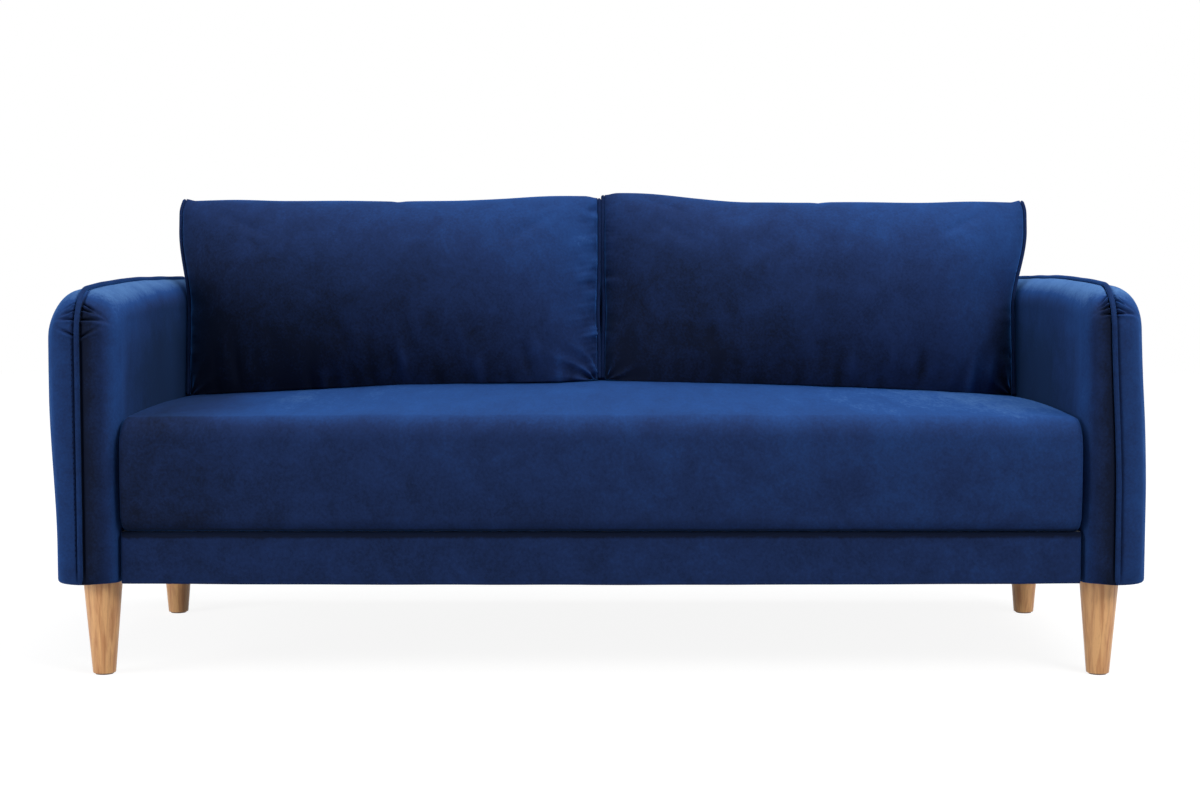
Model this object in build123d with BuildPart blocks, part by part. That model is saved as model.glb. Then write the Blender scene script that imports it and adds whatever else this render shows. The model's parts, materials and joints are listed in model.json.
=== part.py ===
from build123d import *
import os
from math import cos, radians, sin, sqrt, tan

# Upholstered sofa with a tight bench seat, two loose back cushions and four turned wooden legs.
# X runs across the sofa, Y from front to rear and Z up. The origin is on the floor, in the middle.
# Left and right are those of someone looking at the front, so the left arm has negative X.

os.makedirs("parts", exist_ok=True)

# Overall sizes, in millimetres
overall_width = 1814.0
overall_depth = 850.0
underside_height = 160.0

# Covers and trim
fabric = 2.0
welt_diameter = 8.0
welt_clearance = 0.2
rest_gap = 0.3
side_gap = 0.5

# Arms
arm_height = 650.0
arm_crown = 13.0
arm_thickness = 110.0
arm_face_corner = 20.0
seam_flat = 10.0
arm_end_pad = 40.0
arm_top_pad = 40.0
arm_post_width = 70.0
arm_post_depth = 120.0
arm_top_rail_depth = 35.0
arm_panel_thickness = 3.0
arm_foot_board_width = 100.0
arm_foot_board_thickness = 25.0

# Seat base
apron_height = 86.0
apron_setback = 28.0
apron_pad = 6.0
rail_thickness = 25.0
brace_thickness = 25.0
brace_height = 50.0
brace_lift = 5.0
brace_spacing = 526.0
corner_block_leg = 40.0
corner_block_height = 35.0
dust_cover_thickness = 1.0
dust_cover_margin = 10.0

# Elastic webbing under the seat and the felt over it
seat_strap_count = 9
seat_strap_width = 70.0
seat_strap_pitch = 165.0
felt_thickness = 3.0

# Bench seat
seat_setback = 18.0
seat_edge_height = 434.0
seat_front_crown = 2.0
seat_rear_crown = 34.0
seat_top_round = 34.0
seat_bottom_round = 18.0
seat_end_round = 14.0
seat_end_steps = 3
seat_spans = 8
seat_front_bulge = 4.0
seat_rear_gap = 3.0

# Back rest
back_height = 740.0
back_lean = 8.0
back_top_thickness = 152.0
back_rear_inset = 10.0
back_edge_round = 24.0
back_frame_thickness = 90.0
back_top_pad = 24.0
back_top_rail_height = 60.0
back_bottom_rail_height = 76.0
back_post_width = 60.0
webbing_width = 60.0
webbing_thickness = 2.0
webbing_rows = 4
webbing_pitch = 100.0
webbing_first_height = 310.0

# Loose back cushions
cushion_height = 396.0
cushion_thickness = 145.0
cushion_edge = 10.0
cushion_side_roll = 95.0
cushion_top_edge = 20.0
cushion_roll_share = 0.9
cushion_fullness = 4
cushion_flare = 28.0
cushion_middle_gap = 1.0
cushion_side_gap = 7.0
cushion_slices = 12

# Turned legs and their glides
leg_top_diameter = 65.0
leg_foot_diameter = 38.0
leg_inset_x = 69.0
front_leg_inset = 75.0
rear_leg_inset = 165.0
leg_foot_round = 2.0
glide_thickness = 2.0
glide_diameter = 30.0

# Bolts and insert nuts, M8
bolt_diameter = 8.0
bolt_clearance = 0.1
bolt_head_diameter = 14.0
bolt_head_height = 6.0
washer_diameter = 20.0
washer_thickness = 1.6
insert_diameter = 12.0
insert_length = 25.0
leg_bolt_depth = 60.0
bolt_tip = 5.0
arm_bolt_inset = 19.0
arm_bolt_lift = 55.0
back_bolt_lift = 38.0
back_bolt_spacing = 1200.0
back_bolt_count = 4

# Places worked out from the sizes above
half_width = overall_width / 2
half_depth = overall_depth / 2
welt_radius = welt_diameter / 2
groove_radius = welt_radius + welt_clearance
arm_mid = half_width - arm_thickness / 2
arm_inner = half_width - arm_thickness
arm_front = -half_depth + welt_radius
arm_rear = half_depth - welt_radius
arm_round = (arm_thickness - seam_flat) / 2
arm_corner = arm_round + arm_face_corner
frame_front = arm_front + arm_end_pad
frame_rear = arm_rear - arm_end_pad
frame_top = arm_height - arm_top_pad
post_bottom = underside_height + arm_foot_board_thickness
post_top = frame_top - arm_top_rail_depth

base_half = arm_inner - side_gap
deck_height = underside_height + apron_height
felt_bottom = deck_height - felt_thickness
rail_top = felt_bottom - webbing_thickness
apron_front = -half_depth + apron_setback
front_rail_front = apron_front + fabric + apron_pad
front_rail_rear = front_rail_front + rail_thickness
back_rear = half_depth - back_rear_inset
back_frame_rear = back_rear - fabric
back_frame_front = back_frame_rear - back_frame_thickness
back_rail_front = back_frame_front - rail_thickness
side_rail_inner = base_half - rail_thickness

back_slope = tan(radians(back_lean))
back_top_front = back_rear - back_top_thickness
back_bottom_front = back_top_front - (back_height - deck_height) * back_slope
seat_front = -half_depth + seat_setback
seat_rear = back_bottom_front - seat_rear_gap

leg_x = half_width - leg_inset_x
front_leg_y = front_leg_inset - half_depth
rear_leg_y = half_depth - rear_leg_inset
arm_bolt_height = underside_height + arm_bolt_lift
back_bolt_height = underside_height + back_bolt_lift
bolt_hole_radius = bolt_diameter / 2 + bolt_clearance
insert_hole_radius = insert_diameter / 2 + bolt_clearance
insert_hole_depth = insert_length + 2 * bolt_tip


def export(part, name):
    """Labels a finished piece and writes it as its own STEP file."""
    part.label = name
    export_step(part, f"parts/{name}.step")


def export_pair(right_part, name):
    """Writes a right-hand piece and its mirror image on the left."""
    export(right_part, f"right_{name}")
    export(mirror(right_part, about=Plane.YZ), f"left_{name}")


def board(x_limits, y_limits, z_limits):
    """A plain rectangular board between the given limits."""
    (x0, x1), (y0, y1), (z0, z1) = x_limits, y_limits, z_limits
    with BuildPart() as blank:
        with BuildSketch(Plane.XY.offset(z0)):
            with Locations(((x0 + x1) / 2, (y0 + y1) / 2)):
                Rectangle(x1 - x0, y1 - y0)
        extrude(amount=z1 - z0)
    return blank.part


# Arms: the side outline has rounded corners and a top that rises to its middle
def arm_outline(inset):
    """The arm's side outline as a closed line in the YZ plane, moved in by an inset."""
    front, rear, top = arm_front + inset, arm_rear - inset, arm_height - inset
    with BuildLine(Plane.YZ.offset(arm_mid)) as outline:
        front_edge = Line((front, underside_height), (front, top))
        crown = ThreePointArc(front_edge @ 1, (0, top + arm_crown), (rear, top))
        rear_edge = Line(crown @ 1, (rear, underside_height))
        Line(rear_edge @ 1, front_edge @ 0)
        corners = outline.vertices().sort_by(Axis.Z)[-2:]
        fillet(corners, arm_corner - inset)
    return outline.line


def arm_form(inset):
    """The arm's padded block: its outline with both rims rolled over towards the middle seam."""
    thickness = arm_thickness - 2 * inset
    outline = arm_outline(inset)
    side = make_face(outline.edges())
    with BuildPart() as form:
        extrude(side, amount=thickness / 2, both=True)
        rims = form.faces().filter_by(Axis.X).edges()
        rims = rims.filter_by(lambda edge: edge.center().Z > underside_height + inset + fabric)
        fillet(rims, arm_round - inset)
    return form.part


def arm_seam_tube(radius):
    """A round cord along the arm's middle seam, up the front, over the top and down the rear."""
    seam = arm_outline(0.0).edges().sort_by(Axis.Z)[1:]
    path = Wire(seam)
    with BuildPart() as tube:
        with BuildSketch(Plane(origin=path @ 0, z_dir=path % 0)):
            Circle(radius)
        sweep(path=path)
    return tube.part


arm_block = arm_form(0.0)
arm_core = arm_form(fabric)
seam_groove = arm_seam_tube(groove_radius)
frame_half = arm_post_width / 2 + arm_panel_thickness
frame_y = (frame_front, frame_rear)
foot_board_half = arm_foot_board_width / 2
frame_space = board((arm_mid - frame_half, arm_mid + frame_half), frame_y, (post_bottom, frame_top))
foot_board_x = (arm_mid - foot_board_half, arm_mid + foot_board_half)
foot_board_blank = board(foot_board_x, frame_y, (underside_height, post_bottom))
arm_bolt_reach = arm_post_depth - arm_bolt_inset
arm_bolt_ys = (frame_front + arm_bolt_reach, frame_rear - arm_bolt_reach)
arm_bolt_planes = [Plane((side_rail_inner, y, arm_bolt_height), z_dir=(1, 0, 0)) for y in arm_bolt_ys]
arm_insert_start = arm_mid - arm_post_width / 2
arm_bolt_length = arm_insert_start + insert_length + bolt_tip - side_rail_inner

with BuildPart() as arm_padding:
    add(arm_core)
    add(seam_groove, mode=Mode.SUBTRACT)
    add(frame_space, mode=Mode.SUBTRACT)
    add(foot_board_blank, mode=Mode.SUBTRACT)
    with Locations(*arm_bolt_planes):
        Cylinder(bolt_hole_radius, arm_thickness, mode=Mode.SUBTRACT)
export_pair(arm_padding.part, "arm_padding")

with BuildPart() as arm_cover:
    add(arm_block)
    add(arm_core, mode=Mode.SUBTRACT)
    add(seam_groove, mode=Mode.SUBTRACT)
    with Locations(*arm_bolt_planes):
        Cylinder(bolt_hole_radius, arm_thickness, mode=Mode.SUBTRACT)

with BuildPart() as arm_inner_cover:
    add(arm_cover.part)
    split(bisect_by=Plane.YZ.offset(arm_mid), keep=Keep.BOTTOM)
export_pair(arm_inner_cover.part, "arm_inner_cover")

with BuildPart() as arm_outer_cover:
    add(arm_cover.part)
    split(bisect_by=Plane.YZ.offset(arm_mid), keep=Keep.TOP)
export_pair(arm_outer_cover.part, "arm_outer_cover")

export_pair(arm_seam_tube(welt_radius), "arm_welt")

# Timber inside an arm: a foot board that takes the legs, two posts, a top rail and thin side panels
with BuildPart() as arm_foot_board:
    add(foot_board_blank)
    with Locations(*[(leg_x, y, post_bottom) for y in (front_leg_y, rear_leg_y)]):
        Hole(insert_hole_radius)
export_pair(arm_foot_board.part, "arm_foot_board")

post_x = (arm_mid - arm_post_width / 2, arm_mid + arm_post_width / 2)
post_z = (post_bottom, post_top)
post_limits = {
    "arm_front_post": (frame_front, frame_front + arm_post_depth),
    "arm_rear_post": (frame_rear - arm_post_depth, frame_rear),
}
for (post_name, post_y), bolt_y in zip(post_limits.items(), arm_bolt_ys):
    post_blank = board(post_x, post_y, post_z)
    insert_plane = Plane((arm_insert_start, bolt_y, arm_bolt_height), z_dir=(-1, 0, 0))
    with BuildPart() as arm_post:
        add(post_blank)
        with Locations(insert_plane):
            Hole(insert_hole_radius, depth=insert_hole_depth)
    export_pair(arm_post.part, post_name)

export_pair(board(post_x, frame_y, (post_top, frame_top)), "arm_top_rail")

panel_z = (post_bottom, frame_top)
panel_starts = (arm_mid - frame_half, arm_mid + arm_post_width / 2)
panel_blanks = [board((x, x + arm_panel_thickness), frame_y, panel_z) for x in panel_starts]
with BuildPart() as arm_panels:
    for panel_blank in panel_blanks:
        add(panel_blank)
    inner_holes = [Plane((arm_insert_start, y, arm_bolt_height), z_dir=(1, 0, 0)) for y in arm_bolt_ys]
    with Locations(*inner_holes):
        Cylinder(bolt_hole_radius, 2 * arm_panel_thickness, mode=Mode.SUBTRACT)
export_pair(arm_panels.part, "arm_panels")

# Seat base: a box of four rails with two braces and glued corner blocks
base_z = (underside_height, rail_top)
base_x = (-base_half, base_half)
side_rail_y = (front_rail_rear, back_rail_front)
export(board(base_x, (front_rail_front, front_rail_rear), base_z), "seat_front_rail")

back_bolt_pitch = back_bolt_spacing / (back_bolt_count - 1)
back_bolt_xs = [index * back_bolt_pitch - back_bolt_spacing / 2 for index in range(back_bolt_count)]
back_bolt_planes = [Plane((x, back_rail_front, back_bolt_height), z_dir=(0, 1, 0)) for x in back_bolt_xs]
back_rail_blank = board(base_x, (back_rail_front, back_frame_front), base_z)
with BuildPart() as seat_back_rail:
    add(back_rail_blank)
    with Locations(*back_bolt_planes):
        Hole(bolt_hole_radius)
export(seat_back_rail.part, "seat_back_rail")

side_rail_blank = board((side_rail_inner, base_half), side_rail_y, base_z)
with BuildPart() as seat_side_rail:
    add(side_rail_blank)
    with Locations(*arm_bolt_planes):
        Hole(bolt_hole_radius)
export_pair(seat_side_rail.part, "seat_side_rail")

brace_mid = brace_spacing / 2
brace_x = (brace_mid - brace_thickness / 2, brace_mid + brace_thickness / 2)
brace_bottom = underside_height + brace_lift
export_pair(board(brace_x, side_rail_y, (brace_bottom, brace_bottom + brace_height)), "seat_brace")

with BuildPart() as corner_blocks:
    for x_sign in (-1, 1):
        for y_corner, y_sign in ((front_rail_rear, 1), (back_rail_front, -1)):
            x_corner = x_sign * side_rail_inner
            with BuildSketch(Plane.XY.offset(underside_height)):
                with BuildLine():
                    Polyline(
                        (x_corner, y_corner),
                        (x_corner - x_sign * corner_block_leg, y_corner),
                        (x_corner, y_corner + y_sign * corner_block_leg),
                        close=True,
                    )
                make_face()
            extrude(amount=corner_block_height)
export(corner_blocks.part, "corner_blocks")

# Elastic webbing stretched from the front rail to the back rail, with felt over it
with BuildPart() as seat_webbing:
    with BuildSketch(Plane.XY.offset(rail_top)):
        for strap in range(seat_strap_count):
            strap_x = (strap - (seat_strap_count - 1) / 2) * seat_strap_pitch
            with Locations((strap_x, (front_rail_front + back_frame_front) / 2)):
                Rectangle(seat_strap_width, back_frame_front - front_rail_front)
    extrude(amount=webbing_thickness)
export(seat_webbing.part, "seat_webbing")

felt_y = (front_rail_front, back_frame_front - webbing_thickness)
export(board(base_x, felt_y, (felt_bottom, deck_height)), "seat_felt")

# Apron below the seat and the dust cover under the base
apron_top = deck_height - fabric
apron_pad_front = apron_front + fabric
apron_pad_y = (apron_pad_front, front_rail_front)
export(board(base_x, apron_pad_y, (underside_height, apron_top)), "apron_padding")

apron_face = board(base_x, (apron_front, apron_pad_front), (underside_height - fabric, apron_top))
flap_z = (underside_height - fabric, underside_height)
apron_flap = board(base_x, (apron_pad_front, front_rail_rear), flap_z)
with BuildPart() as apron_cover:
    add(apron_face)
    add(apron_flap)
    fillet(apron_cover.edges().filter_by(Axis.X).group_by(Axis.Z)[0].sort_by(Axis.Y)[0], fabric)
export(apron_cover.part, "apron_cover")

dust_x = (-base_half + dust_cover_margin, base_half - dust_cover_margin)
dust_y = (front_rail_rear + rest_gap, back_frame_rear - dust_cover_margin)
dust_z = (underside_height - dust_cover_thickness, underside_height)
export(board(dust_x, dust_y, dust_z), "dust_cover")


# Bench seat: a block with a crowned top, rolled front edges and rounded ends
def seat_form(inset):
    """The seat lofted through upright sections across its width, moved in by an inset."""
    half = base_half - inset
    angles = [radians(90 * step / seat_end_steps) for step in range(seat_end_steps + 1)]
    ends = [(half - seat_end_round * (1 - sin(a)), seat_end_round * (1 - cos(a))) for a in angles]
    flat_half = half - seat_end_round
    inside = [(flat_half * (2 * step / seat_spans - 1), 0.0) for step in range(1, seat_spans)]
    stations = sorted([(-x, take) for x, take in ends] + inside + ends)
    with BuildPart() as form:
        for x, take in stations:
            rise = 1 - (abs(x) / base_half) ** 2
            front = seat_front + inset + take
            rear = seat_rear - inset
            low = deck_height + inset + take
            top_front = seat_edge_height + seat_front_crown * rise - inset - take
            top_rear = seat_edge_height + seat_rear_crown * rise - inset - take
            top_round = seat_top_round - inset
            low_round = seat_bottom_round - inset
            with BuildSketch(Plane.YZ.offset(x)):
                with BuildLine():
                    under = Line((rear, low), (front + low_round, low))
                    low_edge = RadiusArc(under @ 1, (front, low + low_round), low_round)
                    middle = (front - seat_front_bulge, (low + top_front) / 2)
                    face = ThreePointArc(low_edge @ 1, middle, (front, top_front - top_round))
                    high_edge = RadiusArc(face @ 1, (front + top_round, top_front), top_round)
                    crest = ((front + rear) / 2, (top_front + top_rear) / 2 + seat_front_bulge)
                    top = ThreePointArc(high_edge @ 1, crest, (rear, top_rear))
                    Line(top @ 1, under @ 0)
                make_face()
        loft(ruled=True)
    return form.part


seat_block = seat_form(0.0)
seat_core = seat_form(fabric)

with BuildPart() as seat_foam:
    add(seat_core)
export(seat_foam.part, "seat_foam")

with BuildPart() as seat_cover:
    add(seat_block)
    add(seat_core, mode=Mode.SUBTRACT)
export(seat_cover.part, "seat_cover")


# Back rest: a timber ladder frame with webbing and a wedge of padding, between the arms
def back_form(inset):
    """The padded back rest as its side outline drawn across the sofa, moved in by an inset."""
    front_shift = inset / cos(radians(back_lean))
    top = back_height - inset
    top_front = back_top_front - inset * back_slope + front_shift
    with BuildPart() as form:
        with BuildSketch(Plane.YZ.offset(-base_half + inset)):
            with BuildLine():
                Polyline(
                    (back_bottom_front + front_shift, deck_height),
                    (top_front, top),
                    (back_frame_rear, top),
                    (back_frame_rear, deck_height),
                    close=True,
                )
            make_face()
        extrude(amount=2 * (base_half - inset))
        rim = form.edges().filter_by(Axis.X).group_by(Axis.Z)[-1].sort_by(Axis.Y)[0]
        fillet(rim, back_edge_round - inset)
    return form.part


back_block = back_form(0.0)
back_core = back_form(fabric)
back_frame_top = back_height - back_top_pad
webbing_front = back_frame_front - webbing_thickness
back_rail_x = (-base_half + fabric, base_half - fabric)
back_frame_space = board(back_rail_x, (webbing_front, back_frame_rear), (deck_height, back_frame_top))

with BuildPart() as back_padding:
    add(back_core)
    add(back_frame_space, mode=Mode.SUBTRACT)
export(back_padding.part, "back_padding")

with BuildPart() as back_front_cover:
    add(back_block)
    add(back_core, mode=Mode.SUBTRACT)
    add(back_frame_space, mode=Mode.SUBTRACT)
export(back_front_cover.part, "back_front_cover")

rear_cover_y = (back_frame_rear, back_rear)
export(board(base_x, rear_cover_y, (underside_height, back_height)), "back_rear_cover")

back_frame_y = (back_frame_front, back_frame_rear)
back_rail_bottom = back_frame_top - back_top_rail_height
export(board(back_rail_x, back_frame_y, (back_rail_bottom, back_frame_top)), "back_top_rail")

back_post_bottom = underside_height + back_bottom_rail_height
back_insert_planes = [Plane((x, back_frame_front, back_bolt_height), z_dir=(0, -1, 0)) for x in back_bolt_xs]
bottom_rail_blank = board(back_rail_x, back_frame_y, (underside_height, back_post_bottom))
with BuildPart() as back_bottom_rail:
    add(bottom_rail_blank)
    with Locations(*back_insert_planes):
        Hole(insert_hole_radius, depth=insert_hole_depth)
export(back_bottom_rail.part, "back_bottom_rail")

back_post_z = (back_post_bottom, back_rail_bottom)
end_post_x = (base_half - fabric - back_post_width, base_half - fabric)
export_pair(board(end_post_x, back_frame_y, back_post_z), "back_post")
middle_post_x = (-back_post_width / 2, back_post_width / 2)
export(board(middle_post_x, back_frame_y, back_post_z), "back_middle_post")

with BuildPart() as back_webbing:
    for row in range(webbing_rows):
        strap_height = webbing_first_height + row * webbing_pitch
        with BuildSketch(Plane.XZ.offset(-webbing_front)):
            with Locations((0, strap_height)):
                Rectangle(2 * (base_half - fabric), webbing_width)
        extrude(amount=-webbing_thickness)
export(back_webbing.part, "back_webbing")


# Loose back cushions: knife-edged at both sides, folded over at the top, leaning on the back rest
cushion_seat = seat_edge_height - seat_end_round
back_front_there = back_bottom_front + (cushion_seat - deck_height) * back_slope
cushion_mid_y = back_front_there - (cushion_thickness / 2 + rest_gap) / cos(radians(back_lean))
cushion_up = (0, sin(radians(back_lean)), cos(radians(back_lean)))
cushion_plane = Plane(origin=(0, cushion_mid_y, cushion_seat), x_dir=(1, 0, 0), z_dir=cushion_up)
cushion_inner = cushion_middle_gap / 2 + welt_radius
cushion_outer = base_half - cushion_side_gap - welt_radius
shoulder = (arm_height - arm_round - cushion_seat) / cos(radians(back_lean))
flare_run = cushion_height - shoulder
flare_radius = (flare_run**2 + cushion_flare**2) / (2 * cushion_flare)


def cushion_outer_edge(height):
    """Where the outer side seam runs: straight between the arms, then an arc that flares over them."""
    above = max(0.0, height - shoulder)
    return cushion_outer + flare_radius - sqrt(flare_radius**2 - above**2)


def cushion_depth(height):
    """The cushion's thickness at a height: a full middle that rolls over to a thin fold at each end."""
    along = abs(2 * height / cushion_height - 1)
    return cushion_top_edge + (cushion_thickness - cushion_top_edge) * sqrt(1 - along**cushion_fullness)


def cushion_form(inset):
    """The cushion lofted through level slices, each with thin ends, rolled sides and a full middle."""
    shares = [(1 - cos(radians(180 * step / cushion_slices))) / 2 for step in range(cushion_slices + 1)]
    with BuildPart() as form:
        for share in shares:
            height = share * cushion_height
            level = inset + share * (cushion_height - 2 * inset)
            left = cushion_inner + inset
            right = cushion_outer_edge(height) - inset
            edge = cushion_edge / 2 - inset
            full = cushion_depth(height) / 2 - inset
            join = edge + cushion_roll_share * (full - edge)
            with BuildSketch(cushion_plane.offset(level)):
                with BuildLine():
                    middle = (left + right) / 2
                    roll_left, roll_right = left + cushion_side_roll, right - cushion_side_roll
                    front = ThreePointArc((roll_left, -join), (middle, -full), (roll_right, -join))
                    rear = ThreePointArc((roll_right, join), (middle, full), (roll_left, join))
                    front_right = TangentArc((roll_right, -join), (right, -edge), tangent=front % 1)
                    Line(front_right @ 1, (right, edge))
                    rear_right = TangentArc((roll_right, join), (right, edge), tangent=-(rear % 0))
                    rear_left = TangentArc((roll_left, join), (left, edge), tangent=rear % 1)
                    Line(rear_left @ 1, (left, -edge))
                    TangentArc((roll_left, -join), (left, -edge), tangent=-(front % 0))
                make_face()
        loft(ruled=True)
    return form.part


def cushion_seams(radius):
    """Round cords along both side seams of a cushion."""
    with BuildPart() as cords:
        with BuildLine(Plane(cushion_plane.origin, (1, 0, 0), z_dir=cushion_plane.y_dir)) as outer_path:
            straight = Line((cushion_outer, 0), (cushion_outer, -shoulder))
            flare_end = (cushion_outer_edge(cushion_height), -cushion_height)
            TangentArc(straight @ 1, flare_end, tangent=straight % 1)
        outer_wire = outer_path.wires()[0]
        with BuildSketch(Plane(origin=outer_wire @ 0, z_dir=outer_wire % 0)):
            Circle(radius)
        sweep(path=outer_wire)
        with BuildSketch(cushion_plane):
            with Locations((cushion_inner, 0)):
                Circle(radius)
        extrude(amount=cushion_height)
    return cords.part


cushion_block = cushion_form(0.0)
cushion_core = cushion_form(fabric)
cushion_grooves = cushion_seams(groove_radius)
seat_under_cover = seat_block.moved(Location((0, 0, rest_gap)))
seat_under_filling = seat_block.moved(Location((0, 0, rest_gap + fabric)))

with BuildPart() as cushion_filling:
    add(cushion_core)
    add(seat_under_filling, mode=Mode.SUBTRACT)
    add(cushion_grooves, mode=Mode.SUBTRACT)
export_pair(cushion_filling.part, "cushion_filling")

with BuildPart() as cushion_cover:
    add(cushion_block)
    add(seat_under_cover, mode=Mode.SUBTRACT)
    add(cushion_grooves, mode=Mode.SUBTRACT)
    add(cushion_filling.part, mode=Mode.SUBTRACT)
export_pair(cushion_cover.part, "cushion_cover")

cushion_cords = cushion_seams(welt_radius)
with BuildPart() as cushion_welts:
    add(cushion_cords)
    add(seat_under_cover, mode=Mode.SUBTRACT)
export_pair(cushion_welts.part, "cushion_welts")

# Turned legs, each on a plastic glide, screwed into the arm by a hanger bolt
leg_places = {
    "front_left_leg": (-leg_x, front_leg_y),
    "front_right_leg": (leg_x, front_leg_y),
    "rear_left_leg": (-leg_x, rear_leg_y),
    "rear_right_leg": (leg_x, rear_leg_y),
}
for leg_name, (x, y) in leg_places.items():
    with BuildPart() as leg:
        with BuildSketch(Plane((x, y, 0), x_dir=(1, 0, 0), z_dir=(0, -1, 0))):
            with BuildLine():
                Polyline(
                    (0, glide_thickness),
                    (leg_foot_diameter / 2, glide_thickness),
                    (leg_top_diameter / 2, underside_height),
                    (0, underside_height),
                    close=True,
                )
            make_face()
        revolve(axis=Axis((x, y, 0), (0, 0, 1)))
        fillet(leg.edges().group_by(Axis.Z)[0], leg_foot_round)
        with Locations((x, y, underside_height)):
            Hole(bolt_hole_radius, depth=leg_bolt_depth + bolt_tip)
    export(leg.part, leg_name)

leg_spots = list(leg_places.values())
with BuildPart() as foot_glides:
    with BuildSketch():
        with Locations(*leg_spots):
            Circle(glide_diameter / 2)
    extrude(amount=glide_thickness)
export(foot_glides.part, "foot_glides")

with BuildPart() as leg_bolts:
    with BuildSketch(Plane.XY.offset(underside_height - leg_bolt_depth)):
        with Locations(*leg_spots):
            Circle(bolt_diameter / 2)
    extrude(amount=leg_bolt_depth + arm_foot_board_thickness)
export(leg_bolts.part, "leg_bolts")

# Bolts that hold the arms and the back rest to the seat base, with washers and insert nuts
left_bolt_planes = [Plane((-side_rail_inner, y, arm_bolt_height), z_dir=(-1, 0, 0)) for y in arm_bolt_ys]
side_bolt_planes = arm_bolt_planes + left_bolt_planes
back_bolt_length = rail_thickness + insert_length + bolt_tip
bolt_planes = side_bolt_planes + back_bolt_planes
bolt_lengths = [arm_bolt_length] * len(side_bolt_planes) + [back_bolt_length] * len(back_bolt_planes)

with BuildPart() as frame_bolts:
    for bolt_plane, bolt_length in zip(bolt_planes, bolt_lengths):
        with BuildSketch(bolt_plane.offset(-washer_thickness)):
            Circle(bolt_diameter / 2)
        extrude(amount=bolt_length + washer_thickness)
        with BuildSketch(bolt_plane.offset(-washer_thickness)):
            RegularPolygon(bolt_head_diameter / 2, 6)
        extrude(amount=-bolt_head_height)
export(frame_bolts.part, "frame_bolts")

with BuildPart() as bolt_washers:
    for bolt_plane in bolt_planes:
        with BuildSketch(bolt_plane):
            Circle(washer_diameter / 2)
            Circle(bolt_hole_radius, mode=Mode.SUBTRACT)
        extrude(amount=-washer_thickness)
export(bolt_washers.part, "bolt_washers")

insert_planes = [Plane((x, y, underside_height), z_dir=(0, 0, 1)) for x, y in leg_spots]
insert_planes += [plane.offset(arm_insert_start - side_rail_inner) for plane in side_bolt_planes]
insert_planes += [plane.offset(rail_thickness) for plane in back_bolt_planes]
with BuildPart() as insert_nuts:
    for insert_plane in insert_planes:
        with BuildSketch(insert_plane):
            Circle(insert_diameter / 2)
            Circle(bolt_hole_radius, mode=Mode.SUBTRACT)
        extrude(amount=insert_length)
export(insert_nuts.part, "insert_nuts")
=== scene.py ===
import json
from math import cos, pi, radians, sin

import bpy
import numpy as np
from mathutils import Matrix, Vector


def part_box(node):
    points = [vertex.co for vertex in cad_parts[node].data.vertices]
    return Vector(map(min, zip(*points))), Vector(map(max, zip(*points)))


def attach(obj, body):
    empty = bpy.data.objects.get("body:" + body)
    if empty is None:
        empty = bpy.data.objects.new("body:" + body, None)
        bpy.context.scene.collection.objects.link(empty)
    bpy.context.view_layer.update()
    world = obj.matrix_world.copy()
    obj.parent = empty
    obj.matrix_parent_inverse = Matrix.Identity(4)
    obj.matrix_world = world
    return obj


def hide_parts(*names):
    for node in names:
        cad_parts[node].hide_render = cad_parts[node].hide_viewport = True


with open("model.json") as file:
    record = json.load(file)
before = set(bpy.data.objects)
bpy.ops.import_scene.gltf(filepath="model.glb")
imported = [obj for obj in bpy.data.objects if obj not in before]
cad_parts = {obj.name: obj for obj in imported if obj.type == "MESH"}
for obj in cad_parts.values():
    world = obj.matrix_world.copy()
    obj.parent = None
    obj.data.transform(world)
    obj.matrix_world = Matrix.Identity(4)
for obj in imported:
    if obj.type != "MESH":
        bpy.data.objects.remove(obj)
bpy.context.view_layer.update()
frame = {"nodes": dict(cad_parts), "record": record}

bl_info = {
    "name": "Velvet sofa",
    "version": (1, 0, 0),
    "blender": (4, 5, 0),
    "location": "View3D > Sidebar > Sofa",
    "description": "Dresses the packed sofa in velvet, beech and black cloth, and sets its stage",
    "category": "Object",
}

NODES = frame["nodes"]
ROOT = "sofa"


def linear(hex_colour):
    """Turns an sRGB hex colour into linear RGBA."""
    srgb = np.array([int(hex_colour[place:place + 2], 16) for place in (1, 3, 5)]) / 255
    low, high = srgb / 12.92, ((srgb + 0.055) / 1.055) ** 2.4
    return (*np.where(srgb <= 0.04045, low, high), 1.0)


def length(name, description, default):
    """A size in metres that a user may change."""
    return bpy.props.FloatProperty(
        name=name, description=description, default=default, precision=4, subtype="DISTANCE", unit="LENGTH")


def colour(name, description, hex_colour):
    """A colour that a user may change, given as sRGB hex."""
    return bpy.props.FloatVectorProperty(
        name=name, description=description, default=linear(hex_colour), size=4, min=0, max=1, subtype="COLOR")


def degrees(name, description, default):
    """An angle that a user may change, given in degrees."""
    return bpy.props.FloatProperty(
        name=name, description=description, default=radians(default), subtype="ANGLE", unit="ROTATION")


def pleat_angles(name, description, default):
    """Where four pleats start round an arm's top corner, in radians above the level."""
    return bpy.props.FloatVectorProperty(
        name=name, description=description, default=default, size=4, precision=3)


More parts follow.
